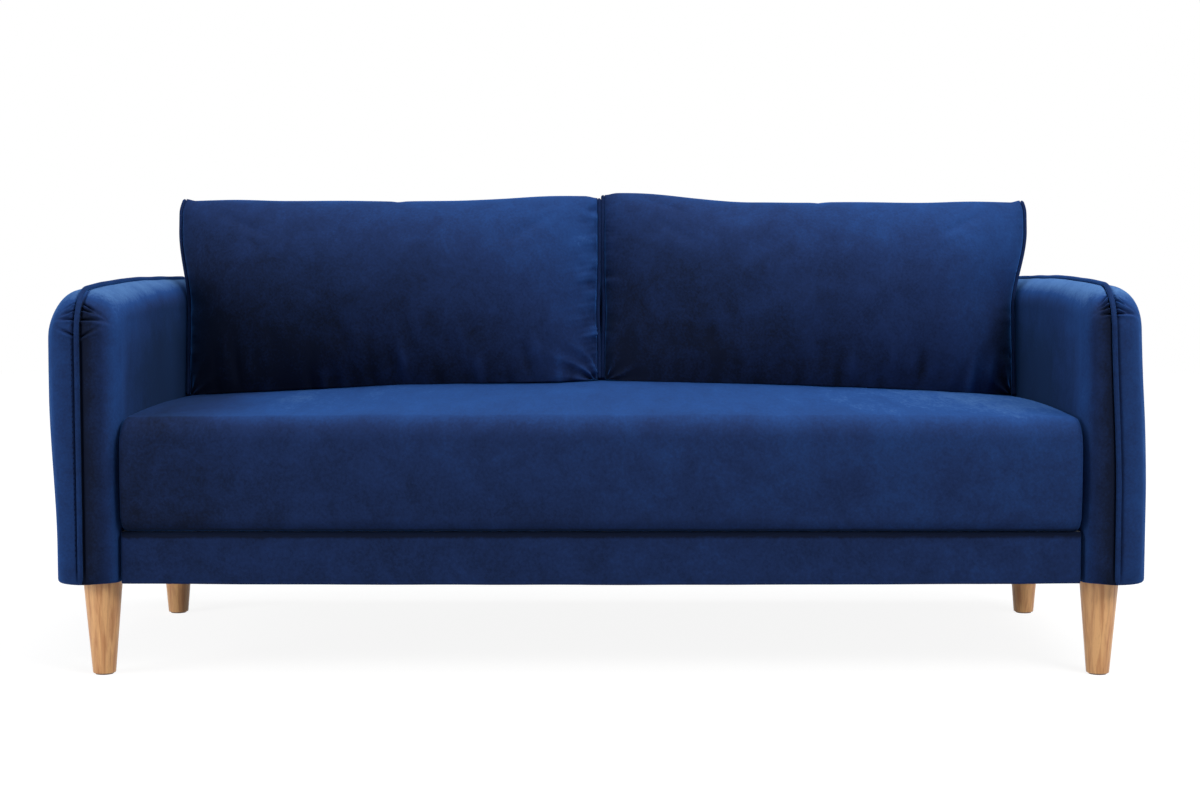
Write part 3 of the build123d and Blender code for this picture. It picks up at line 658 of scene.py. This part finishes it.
def stitches(name, path, outward, pitch, stitch, finish):
    """Stitches along a path: each is a small spindle with four sides, pointed at both ends, laid on the
    path's tangent and half sunk in."""
    run = distances(path)
    even = np.arange(pitch, run[-1], pitch)
    spot, way, out = (np.stack([np.interp(even, run, values[:, k]) for k in range(3)], axis=-1)
                      for values in (path, np.gradient(path, axis=0), outward))
    way, out = unit(way), unit(out)
    beside = np.cross(way, out)
    ring = [out, beside, -out, -beside]
    thread, half = 0.0008, way * stitch / 2
    points = np.stack([spot - half, *(spot + thread * r for r in ring), spot + half], axis=1)
    tips = np.array([(0, 2, 1), (0, 3, 2), (0, 4, 3), (0, 1, 4), (5, 1, 2), (5, 2, 3), (5, 3, 4), (5, 4, 1)])
    faces = (tips[None] + 6 * np.arange(len(points))[:, None, None]).reshape(-1, 3)
    return make_piece(name, points, finish, levels=0, faces=[faces])


class SOFA_OT_arms(bpy.types.Operator):
    """Covers both padded arms in velvet, with gathered corners, a welt on the seam and a row of stitches"""
    bl_idname = "sofa.arms"
    bl_label = "Arms"

    def execute(self, context):
        sizes = context.scene.sofa_arm
        for side, word in ((-1, "left"), (1, "right")):
            across, y, z = arm_points(sizes)
            points = arm_place(sizes, side, across, y, z)
            outward = side * grid_normals(points)
            angles, seed = (sizes.left_pleats, 11) if side < 0 else (sizes.right_pleats, 23)
            move, folds = arm_pleats(sizes, across, y, z, angles, seed)
            points = points + outward * move[..., None]
            # Painted light and shade over the arm, with painted shade in the pleats' grooves and beside the
            # welt, and painted light on the lips.
            nap = arm_nap(sizes, side, across, y, z, outward) - folds
            cover = make_piece(f"{word}_arm_velvet", points, "velvet_brushed_down", levels=0, nap=nap)
            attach(cover, ROOT)
            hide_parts(f"{word}_arm_inner_cover", f"{word}_arm_outer_cover", f"{word}_arm_padding")
            seam_y, seam_z = arm_seam(sizes)
            path = arm_place(sizes, side, 0 * seam_y, seam_y, seam_z)
            # The piping's tone is a constant touch of painted light above the plain colour.
            welt = tube(f"{word}_arm_piping", path, (1, 0, 0), sizes.welt, "velvet_piping", nap=0.65)
            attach(welt, ROOT)
            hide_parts(f"{word}_arm_welt")
            # The stitches keep to one column of the cover's grid, picked at a level part of the way up.
            level, stitch_gap, lowest_stitch = 60, 0.0050, 0.20
            away = arm_away(sizes, across, y, z)[0]
            beside = (side * across < 0) & (y < 0)
            column = np.abs(np.where(beside, away, 1)[level] - stitch_gap).argmin()
            rows = z[:, column] > lowest_stitch
            sewn = stitches(f"{word}_arm_stitches", points[rows, column], outward[rows, column],
                            sizes.stitch_pitch, sizes.stitch_length, "thread_navy")
            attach(sewn, ROOT)
        return {"FINISHED"}


def ended_stations(half_width, end_round, count):
    """Stations across the width with a quarter circle of shrinking at each end: (places, shrink)."""
    bend = np.radians(np.linspace(0, 90, 9))
    ends = half_width - end_round * (1 - np.sin(bend))
    fall = end_round * (1 - np.cos(bend))
    inside = np.linspace(-ends[0], ends[0], count)[1:-1]
    places = np.concatenate([-ends[::-1], inside, ends])
    return places, np.concatenate([fall[::-1], np.zeros(len(inside)), fall])


def seat_top(sizes, x, y):
    """Height of the seat's top: its edge height and a crown, which is a parabola across the width that grows
    to the rear."""
    across = 1 - np.clip(np.abs(x) / sizes.half_width, 0, 1) ** 2
    back = np.clip((y - sizes.front) / (sizes.rear - sizes.front), 0, 1)
    return sizes.edge + across * (sizes.front_crown + back * (sizes.rear_crown - sizes.front_crown))


class SOFA_OT_seat(bpy.types.Operator):
    """Makes the full-width bench seat, crowned and rolled over at its front edge"""
    bl_idname = "sofa.seat"
    bl_label = "Bench seat"

    def execute(self, context):
        sizes = context.scene.sofa_seat
        x, shrink = ended_stations(sizes.half_width, sizes.end_round, 90)
        front, rear = sizes.front + shrink, sizes.rear - shrink
        low = sizes.low + 0.6 * shrink
        top_front = seat_top(sizes, x, sizes.front) - shrink
        top_rear = seat_top(sizes, x, sizes.rear) - shrink
        corners = (front, top_front), (rear, top_rear), (rear, low), (front, low)
        radii = 0.036, 0.020, 0.008, 0.024
        points = rounded_sections(x, corners, radii, arc_steps=12, side_steps=28)
        y, z = points[..., 1], points[..., 2]
        up = np.clip((z - sizes.low) / (sizes.edge - sizes.low), 0, 1)
        face = ease((sizes.front + 0.10 - y) / 0.10)
        bulge, top_depth = 0.006, 0.6
        points[..., 1] -= bulge * face * np.sin(pi * up)
        back = np.clip((y - sizes.front) / top_depth, 0, 1)
        points[..., 2] += bulge * ease((up - 0.7) / 0.3) * np.sin(pi * back)
        push = 0.0016 * soft_noise(points, 0.22, 31) + 0.0008 * soft_noise(points, 0.09, 32)
        keep = ease((z - sizes.low) / 0.03) * ease((sizes.half_width - np.abs(points[..., 0])) / 0.03)
        points = points - grid_normals(points) * (push * keep)[..., None]
        # Painted light and shade: the front gets lighter upwards and to the right, where the lamps fall, with
        # painted shade at its left end. The top gets painted light, brighter towards the ends, with painted
        # shade at its left end.
        span = points[..., 0] / sizes.half_width
        on_top = ease((z - sizes.edge + 0.019) / 0.034)
        front_nap = 0.42 + 0.12 * up + 0.13 * span - 0.20 * ease((-span - 0.62) / 0.35)
        top_nap = 0.82 + 0.42 * span**2 - 1.00 * ease((-span - 0.68) / 0.26)
        nap = front_nap + (top_nap - front_nap) * on_top
        # A painted shadow darkens the lowest few millimetres, in the gap above the apron.
        nap = nap - 0.9 * ease((sizes.low + 0.007 - z) / 0.006)
        seat = make_piece("bench_seat_velvet", points, "velvet_seat", nap=nap)
        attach(seat, ROOT)
        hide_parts("seat_cover", "seat_foam")
        return {"FINISHED"}


class SOFA_OT_apron(bpy.types.Operator):
    """Makes the padded velvet apron under the seat"""
    bl_idname = "sofa.apron"
    bl_label = "Apron"

    def execute(self, context):
        sizes = context.scene.sofa_seat
        x, shrink = ended_stations(sizes.half_width + 0.0005, 0.004, 120)
        thickness, bulge = 0.0085, 0.0010
        front, rear = sizes.apron_front + shrink, sizes.apron_front + thickness
        waves = 0.0008 * soft_noise(np.stack([x, 0 * x, 0 * x], axis=-1), 0.11, 43)
        sag = sizes.apron_sag * (1 - (x / sizes.half_width) ** 2) + waves
        corners = ((front, sizes.low - 0.005), (rear, sizes.low + 0.0006),
                   (rear, sizes.apron_low), (front, sizes.apron_low - sag))
        radii = 0.0040, 0.0005, 0.001, 0.003
        points = rounded_sections(x, corners, radii, arc_steps=8, side_steps=14)
        face = ease((sizes.apron_front + 0.006 - points[..., 1]) / 0.005)
        hem = ease((sizes.apron_low + 0.035 - points[..., 2]) / 0.03)
        pulls = 0.0008 * soft_noise(points * (1, 0.2, 0.2), 0.035, 41) * hem
        pulls = pulls + 0.0008 * soft_noise(points, 0.15, 42)
        up = np.clip((points[..., 2] - 0.16) / 0.086, 0, 1)
        points[..., 1] += face * (pulls - bulge * np.sin(pi * up))
        # Painted light and shade: lighter to the right, and a painted shadow along the top, under the seat's
        # overhang.
        painted_gap_shadow = ease((points[..., 2] - sizes.low + 0.013) / 0.011)
        nap = 0.40 + 0.07 * points[..., 0] / sizes.half_width - 0.7 * painted_gap_shadow
        apron = make_piece("apron_velvet", points, "velvet_pile", nap=nap)
        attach(apron, ROOT)
        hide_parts("apron_cover", "apron_padding")
        return {"FINISHED"}


class SOFA_OT_back_rest(bpy.types.Operator):
    """Makes the padded back rest and the panel that closes its rear"""
    bl_idname = "sofa.back_rest"
    bl_label = "Back rest"

    def execute(self, context):
        sizes = context.scene.sofa_back
        x, shrink = ended_stations(sizes.half_width, 0.016, 60)
        # The rest ends just inside the panel that closes its rear.
        rear, top = sizes.rear - 0.0008, sizes.high - shrink
        corners = ((sizes.front_high + shrink, top), (rear, top), (rear, sizes.low), (sizes.inner, sizes.low),
                   (sizes.inner, sizes.deck), (sizes.front_low + shrink, sizes.deck))
        radii = 0.026, 0.012, 0.004, 0.002, 0.002, 0.010
        points = rounded_sections(x, corners, radii, arc_steps=10, side_steps=20)
        push = 0.0010 * soft_noise(points, 0.18, 51)
        upper = ease((points[..., 2] - 0.30) / 0.1) * ease((0.355 - points[..., 1]) / 0.03)
        points[..., 2] += push * ease((points[..., 2] - 0.70) / 0.04)
        points[..., 1] += push * upper
        clear = np.maximum(ease((points[..., 2] - 0.615) / 0.03), ease((points[..., 1] - 0.375) / 0.02))
        points[..., 0] *= 1 + sizes.end_swell / sizes.half_width * clear
        rest = make_piece("back_rest_velvet", points, "velvet_pile")
        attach(rest, ROOT)
        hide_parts("back_front_cover", "back_padding")

        x, shrink = ended_stations(sizes.half_width, 0.002, 100)
        low, high = sizes.low - 0.001 + shrink, sizes.high - 0.012 - shrink
        front, rear = sizes.rear - 0.003, sizes.rear + 0.001 - 0.3 * shrink
        corners = (front, high), (rear, high), (rear, low), (front, low)
        radii = 0.0008, 0.003, 0.003, 0.0008
        points = rounded_sections(x, corners, radii, arc_steps=5, side_steps=24)
        behind = ease((points[..., 1] - sizes.rear + 0.002) / 0.002)
        points[..., 1] += 0.0010 * soft_noise(points, 0.25, 52) * behind
        panel = make_piece("rear_panel_velvet", points, "velvet_pile")
        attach(panel, ROOT)
        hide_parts("back_rear_cover")
        return {"FINISHED"}


def cushion_seams(sizes, side, v):
    """Places of a cushion's inner and outer seams at heights along its lean: the inner seam is drawn in a
    little at its middle, and the outer one is straight between the arms and then steps out over them as a
    smooth step, turning in again at its top corner."""
    flare = sizes.left_flare if side < 0 else sizes.right_flare
    inner = sizes.inner + sizes.draw_in * bell((v / sizes.height - 0.47) / 0.13)
    spread = ease((v - sizes.shoulder) / (0.86 * sizes.height - sizes.shoulder))
    turn_in = ease((v - 0.92 * sizes.height) / (0.10 * sizes.height)) ** 2
    return inner, sizes.outer + flare * spread - 0.007 * turn_in


def cushion_world(sizes, side, x, n, v):
    """Turns places across, through and along a leaning cushion into places in the room."""
    c, s = cos(sizes.lean), sin(sizes.lean)
    return np.stack([side * x, sizes.foot + n * c + v * s, sizes.seat - n * s + v * c], axis=-1)


def cushion_top(sizes, side, share):
    """Length of the cushion across its width: the inner end stands higher, more so on the right cushion, and
    dips at its seam. The outer end lifts a little, and its seam stands up as a small ear."""
    lift, level = (0.021, -0.006) if side > 0 else (0.012, -0.003)
    inner_dip, outer_lift, outer_ear = 0.003, 0.003, 0.004
    rise = lift * ease((0.36 - share) / 0.34) - inner_dip * ease((0.03 - share) / 0.03)
    rise = rise + outer_lift * ease((share - 0.75) / 0.15) + outer_ear * ease((share - 0.975) / 0.025)
    return sizes.height + level + rise + sizes.top_crown * np.sin(pi * share)


def cushion_points(sizes, side, rows, columns):
    """The cushion as sections across its width. Each is a superellipse of the cushion's thickness and height,
    and the thickness falls to a thin edge at both seams as a rounded roll. The front swells as a parabola
    across the width. Gives the points and, for each, its distance from a seam, its height along the lean, the
    cosine that is -1 at the front and 1 at the rear, and its share of the way from the left to the right."""
    t = np.linspace(0, 1, rows)
    share = (0.30 * t + 0.70 * (0.5 - 0.5 * np.cos(pi * t)))[:, None]
    beta = -pi / 2 - (np.arange(columns) + 0.5) / columns * 2 * pi
    top = cushion_top(sizes, side, share)
    power = 2 / 2.15
    v = top / 2 + top / 2 * np.sign(np.sin(beta)) * np.abs(np.sin(beta)) ** power
    inner, outer = cushion_seams(sizes, side, v)
    tuck, thin = 0.8 * sizes.welt, 0.0015
    inner, outer = inner + tuck, outer - tuck
    x = inner + (outer - inner) * share
    from_seam = np.minimum(x - inner, outer - x)
    full = (1 - (1 - np.clip(from_seam / sizes.roll, 0, 1)) ** 2.2) ** 0.62
    half = thin + (sizes.half_thickness - thin) * full
    n = half * np.sign(np.cos(beta)) * np.abs(np.cos(beta)) ** power
    crown = np.clip(1 - (2 * share - 1) ** 2, 0, 1) * np.clip(-np.cos(beta), 0, 1) ** 1.5
    n = n - sizes.crown * crown
    facing = np.broadcast_to(np.cos(beta), v.shape)
    rightwards = np.broadcast_to(share if side > 0 else 1 - share, v.shape)
    return cushion_world(sizes, side, x, n, v), from_seam, v, facing, rightwards


def cushion_rest(points, sizes, seat):
    """Keeps a cushion on top of the seat and in front of the plane of the back rest."""
    c, s = cos(sizes.lean), sin(sizes.lean)
    through = (points[..., 1] - sizes.foot) * c - (points[..., 2] - sizes.seat) * s
    over = np.maximum(through - sizes.half_thickness - 0.0002, 0)
    points = points - over[..., None] * np.array((0, c, -s))
    floor = seat_top(seat, points[..., 0], points[..., 1]) + 0.004
    points[..., 2] = np.maximum(points[..., 2], floor)
    return points


def cushion_creases(points, from_seam, over_seat, facing, gather, seed):
    """How far a cushion's cover moves along its normal, and how much of that is folds: uneven gathers along
    the seams, short creases that fan out of the seams' lower ends and upright creases in the lower third. The
    rest is a slow unevenness."""
    wobble = soft_noise(points * (0.4, 0, 1), 0.08, seed)
    sewn = ease(from_seam / 0.004)
    fade = sewn * np.exp(-from_seam / 0.019) * (0.7 + 0.5 * soft_noise(points, 0.05, seed + 4))
    drawn = points * (0.35, 0.1, 1)
    pulls = soft_noise(drawn, 0.020, seed + 5) + 0.6 * soft_noise(drawn, 0.010, seed + 6)
    gathers = 0.0062 * gather * fade * pulls
    low = np.maximum(over_seat, 0)
    spot, turn = np.hypot(from_seam, low), np.arctan2(low, from_seam)
    rays = 1 - 2 * np.abs(np.sin(5.5 * turn + 1.3 * wobble))
    fan = 0.0070 * (0.3 + 0.9 * gather) * np.exp(-spot / 0.036) * sewn * rays
    upright = soft_noise(points * (1, 0.15, 0.20), 0.030, seed + 3)
    lower = 0.0042 * upright * np.abs(upright) * ease((0.15 - low) / 0.11) * ease(from_seam / 0.05)
    padding = 0.0026 * soft_noise(points, 0.24, seed + 1) + 0.0010 * soft_noise(points, 0.09, seed + 2)
    broad = np.abs(facing) ** 0.5
    folds = (gathers + fan + lower) * broad
    return folds + padding * ease(from_seam / 0.1) * broad, folds


class SOFA_OT_cushions(bpy.types.Operator):
    """Makes the two loose back cushions with piped side seams"""
    bl_idname = "sofa.cushions"
    bl_label = "Back cushions"

    coarse, fine = (110, 120), (220, 400)

    def top_corner(self, sizes, from_seam, v):
        """1 at the cushion's top corners, where its cover is sewn smooth, and 0 elsewhere."""
        return ease((v / sizes.height - 0.55) / 0.25) * (1 - ease((from_seam - 0.04) / 0.14))

    def plumped(self, sizes, side):
        """How far the air in a cushion moves its cover: found on a coarse cover, then spread smoothly."""
        points, from_seam, v, facing, rightwards = cushion_points(sizes, side, *self.coarse)
        cover = make_piece("cushion_in_the_making", points, "velvet_pile", levels=0)
        held = (from_seam < 0.002) | (v < 0.016) | ((facing > 0.85) & (v < 0.3))
        gathered = ease((rightwards - 0.4) / 0.3) if side < 0 else 0.3
        loose = np.exp(-from_seam / 0.03) * ease((0.75 - v / sizes.height) / 0.2) * gathered
        shift = plump(cover, held, loose, pressure=4.0, slack=0.04, cap=0.026).reshape(points.shape) - points
        shift = shift * (1 - self.top_corner(sizes, from_seam, v))[..., None]
        bpy.data.objects.remove(cover)
        rows = np.linspace(0, self.coarse[0] - 1, self.fine[0])
        columns = (np.arange(self.fine[1]) + 0.5) / self.fine[1] * self.coarse[1] - 0.5
        across = spline_weights(rows, self.coarse[0], closed=False)
        around = spline_weights(columns, self.coarse[1], closed=True)
        return np.einsum("ri,ijk,cj->rck", across, shift, around)

    def execute(self, context):
        sizes, seat = context.scene.sofa_cushion, context.scene.sofa_seat
        for side, word in ((-1, "left"), (1, "right")):
            points, from_seam, v, facing, rightwards = cushion_points(sizes, side, *self.fine)
            points = points + self.plumped(sizes, side)
            over_seat = points[..., 2] - seat_top(seat, points[..., 0], points[..., 1])
            gather = 0.25 + 0.75 * ease((rightwards - 0.4) / 0.3) if side < 0 else 0.35
            seed, painted_light_offset = (61, 0.03) if side < 0 else (71, 0.10)
            push, folds = cushion_creases(points, from_seam, over_seat, facing, gather, seed)
            points = points - grid_normals(points) * (side * push)[..., None]
            points = cushion_rest(points, sizes, seat)
            # Painted light and shade: lighter towards the top and to the right, a constant lift that is
            # larger on the right cushion, painted shade low on the right cushion's outer end, painted shade
            # and light along the folds, and the plain colour on the rear face.
            up = np.clip(v / sizes.height, 0, 1)
            nap = 0.58 * up**2 + 0.43 * (rightwards - 0.34) + 0.20 * ease((rightwards - 0.72) / 0.28)
            shade = 0.55 * ease((rightwards - 0.91) / 0.08) * ease((0.80 - up) / 0.50) if side > 0 else 0.0
            lightest, fold_shade = 0.82, 70
            nap = np.minimum(nap + painted_light_offset, lightest) - shade + fold_shade * folds
            nap = nap + (0.45 - nap) * ease((facing + 0.1) / 0.5)
            cushion = make_piece(f"{word}_cushion_velvet", points, "velvet_pile", levels=0, nap=nap)
            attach(cushion, f"{word}_cushion")
            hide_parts(f"{word}_cushion_cover", f"{word}_cushion_filling")
            through = (0, cos(sizes.lean), -sin(sizes.lean))
            for end, name, start, lift in ((0, "inner", 0.030, 0.028), (1, "outer", 0.022, 0.004)):
                reach = cushion_top(sizes, side, np.array(float(end)))
                v = np.linspace(start, reach, 160) + lift * (1 - np.linspace(0, 1, 160))
                path = cushion_world(sizes, side, cushion_seams(sizes, side, v)[end], 0 * v, v)
                pipe = tube(f"{word}_cushion_{name}_piping", path, through, sizes.welt, "velvet_piping")
                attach(pipe, f"{word}_cushion")
            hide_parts(f"{word}_cushion_welts")
        return {"FINISHED"}


class SOFA_OT_dust_cloth(bpy.types.Operator):
    """Stretches the black dust cloth under the seat, with a slight sag"""
    bl_idname = "sofa.dust_cloth"
    bl_label = "Dust cloth"

    def execute(self, context):
        low, high = (np.array(corner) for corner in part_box("dust_cover"))
        across, along = 80, 50
        x = np.linspace(low[0], high[0], across)
        y = np.linspace(low[1], high[1], along)
        y = np.concatenate([y, y[::-1]])
        z = np.repeat([low[2], high[2]], along)
        points = np.stack(np.broadcast_arrays(x[:, None], y, z), axis=-1)
        middle, half = (low + high) / 2, (high - low) / 2
        share = 1 - ((points[..., :2] - middle[:2]) / half[:2]) ** 2
        ripple, sag, lift = 0.0006, 0.004, 0.0002
        ripples = ripple * soft_noise(points * (1, 0.4, 0), 0.05, 81)
        points[..., 2] += share[..., 0] * share[..., 1] * (ripples - sag) + lift
        cloth = make_piece("dust_cloth", points, "cloth_non_woven", levels=0)
        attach(cloth, ROOT)
        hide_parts("dust_cover")
        return {"FINISHED"}


class SOFA_OT_wood_and_frame(bpy.types.Operator):
    """Gives the legs, glides, dust cover and the hidden frame their own finishes"""
    bl_idname = "sofa.wood_and_frame"
    bl_label = "Legs and frame"

    finish_of = {
        "beech": "beech_lacquered", "glide": "nylon_brown", "dust_cloth": "cloth_non_woven",
        "frame_timber": "pine_sawn", "hardboard": "hardboard", "zinc_steel": "steel_zinc",
        "felt": "felt_grey", "webbing": "webbing_woven",
    }

    def execute(self, context):
        for part in frame["record"]["subparts"]:
            kind = self.finish_of.get(part["material_slot"])
            if kind:
                mesh = NODES[part["node"]].data
                mesh.materials.clear()
                mesh.materials.append(finish_material(kind))
        return {"FINISHED"}


def area_lamp(name, place, aim, size, power):
    """A square soft box that looks at a point."""
    lamp = bpy.data.lights.new(name, "AREA")
    lamp.shape, lamp.size, lamp.energy = "SQUARE", size, power
    holder = bpy.data.objects.new(name, lamp)
    holder.location = place
    holder.rotation_euler = (Vector(aim) - Vector(place)).to_track_quat("-Z", "Y").to_euler()
    bpy.context.scene.collection.objects.link(holder)


def seen_directly(tree):
    """1 for rays from the camera, by a mirror or through something clear, and 0 for rays that carry light."""
    rays = add_node(tree, "ShaderNodeLightPath").outputs
    seen = rays["Is Camera Ray"]
    for kind in ("Is Glossy Ray", "Is Transmission Ray"):
        seen = add_node(tree, "ShaderNodeMath", {0: seen, 1: rays[kind]}, operation="MAXIMUM").outputs[0]
    return seen


class SOFA_OT_stage(bpy.types.Operator):
    """Sets up the camera, the white floor, the soft boxes and the world's light"""
    bl_idname = "sofa.stage"
    bl_label = "Stage"

    def execute(self, context):
        settings, scene = context.scene.sofa_stage, context.scene
        scene.view_settings.view_transform = "Standard"
        camera = bpy.data.cameras.new("camera")
        camera.sensor_width, camera.lens = 36.0, settings.lens
        camera.clip_end = 60.0
        holder = bpy.data.objects.new("camera", camera)
        holder.location = (0.0, -settings.distance, settings.eye)
        holder.rotation_euler = (pi / 2 - settings.tilt, 0.0, settings.turn)
        scene.collection.objects.link(holder)
        scene.camera = holder

        material, tree, output, place = blank_material("floor_white")
        paper = add_node(tree, "ShaderNodeBsdfDiffuse", {"Color": (0.5, 0.5, 0.5, 1)})
        shade = add_node(tree, "ShaderNodeBsdfDiffuse", {"Color": (0.20, 0.20, 0.20, 1)})
        # The paper glows a little more away from the sofa, so the shadow fades into plain white.
        far = add_node(tree, "ShaderNodeVectorMath", {0: place}, operation="LENGTH").outputs["Value"]
        level = add_node(tree, "ShaderNodeMapRange", {
            "Value": far, "From Min": 1.0, "From Max": 2.4, "To Min": 0.90, "To Max": 1.0}).outputs["Result"]
        glow = add_node(tree, "ShaderNodeEmission", {"Color": (1, 1, 1, 1), "Strength": level})
        white = add_node(tree, "ShaderNodeAddShader", {0: shade.outputs[0], 1: glow.outputs[0]})
        mix = add_node(tree, "ShaderNodeMixShader", {
            0: seen_directly(tree), 1: paper.outputs[0], 2: white.outputs[0]})
        tree.links.new(mix.outputs[0], output.inputs["Surface"])
        mesh = bpy.data.meshes.new("floor")
        half = 9.0
        corners = [(-half, -half, 0), (half, -half, 0), (half, half, 0), (-half, half, 0)]
        mesh.from_pydata(corners, [], [(0, 1, 2, 3)])
        mesh.materials.append(material)
        floor = bpy.data.objects.new("floor", mesh)
        scene.collection.objects.link(floor)

        world = bpy.data.worlds.new("studio")
        scene.world = world
        world.use_nodes = True
        tree = world.node_tree
        tree.nodes.clear()
        room = add_node(tree, "ShaderNodeBackground", {"Color": (1, 1, 1, 1), "Strength": 0.12})
        backdrop = add_node(tree, "ShaderNodeBackground", {"Color": (1, 1, 1, 1), "Strength": 1.0})
        mix = add_node(tree, "ShaderNodeMixShader", {
            0: seen_directly(tree), 1: room.outputs[0], 2: backdrop.outputs[0]})
        add_node(tree, "ShaderNodeOutputWorld", {"Surface": mix.outputs[0]})

        area_lamp("key", (2.3, -2.8, 2.6), (0.0, -0.1, 0.4), 1.5, 78)
        area_lamp("left_wall", (-3.0, -1.7, 0.9), (-0.9, -0.4, 0.4), 1.6, 50)
        area_lamp("right_wall", (3.2, -0.7, 1.0), (0.9, -0.3, 0.4), 2.0, 14)
        area_lamp("overhead", (0.3, -0.2, 3.1), (0, 0, 0.4), 2.8, 95)
        return {"FINISHED"}


class SOFA_PT_panel(bpy.types.Panel):
    """Lists the steps that make the sofa, and its sizes and colours"""
    bl_label = "Velvet sofa"
    bl_idname = "SOFA_PT_panel"
    bl_space_type = "VIEW_3D"
    bl_region_type = "UI"
    bl_category = "Sofa"

    def draw(self, context):
        for operator in OPERATORS:
            self.layout.operator(operator.bl_idname)
        for group in SETTINGS:
            box = self.layout.box()
            settings = getattr(context.scene, group)
            for key in settings.bl_rna.properties.keys():
                if key not in {"rna_type", "name"}:
                    box.prop(settings, key)


SETTINGS = {
    "sofa_arm": SofaArmSizes, "sofa_seat": SofaSeatSizes, "sofa_back": SofaBackSizes,
    "sofa_cushion": SofaCushionSizes, "sofa_finishes": SofaFinishes, "sofa_stage": SofaStageSettings,
}
OPERATORS = (
    SOFA_OT_stage, SOFA_OT_arms, SOFA_OT_seat, SOFA_OT_apron, SOFA_OT_back_rest, SOFA_OT_cushions,
    SOFA_OT_dust_cloth, SOFA_OT_wood_and_frame,
)


def register():
    for item in (*SETTINGS.values(), *OPERATORS, SOFA_PT_panel):
        bpy.utils.register_class(item)
    for name, group in SETTINGS.items():
        setattr(bpy.types.Scene, name, bpy.props.PointerProperty(type=group))


def unregister():
    for name in SETTINGS:
        delattr(bpy.types.Scene, name)
    for item in reversed((*SETTINGS.values(), *OPERATORS, SOFA_PT_panel)):
        bpy.utils.unregister_class(item)


def main():
    register()
    bpy.ops.sofa.stage()
    bpy.ops.sofa.arms()
    bpy.ops.sofa.seat()
    bpy.ops.sofa.apron()
    bpy.ops.sofa.back_rest()
    bpy.ops.sofa.cushions()
    bpy.ops.sofa.dust_cloth()
    bpy.ops.sofa.wood_and_frame()


if __name__ == "__main__":
    main()
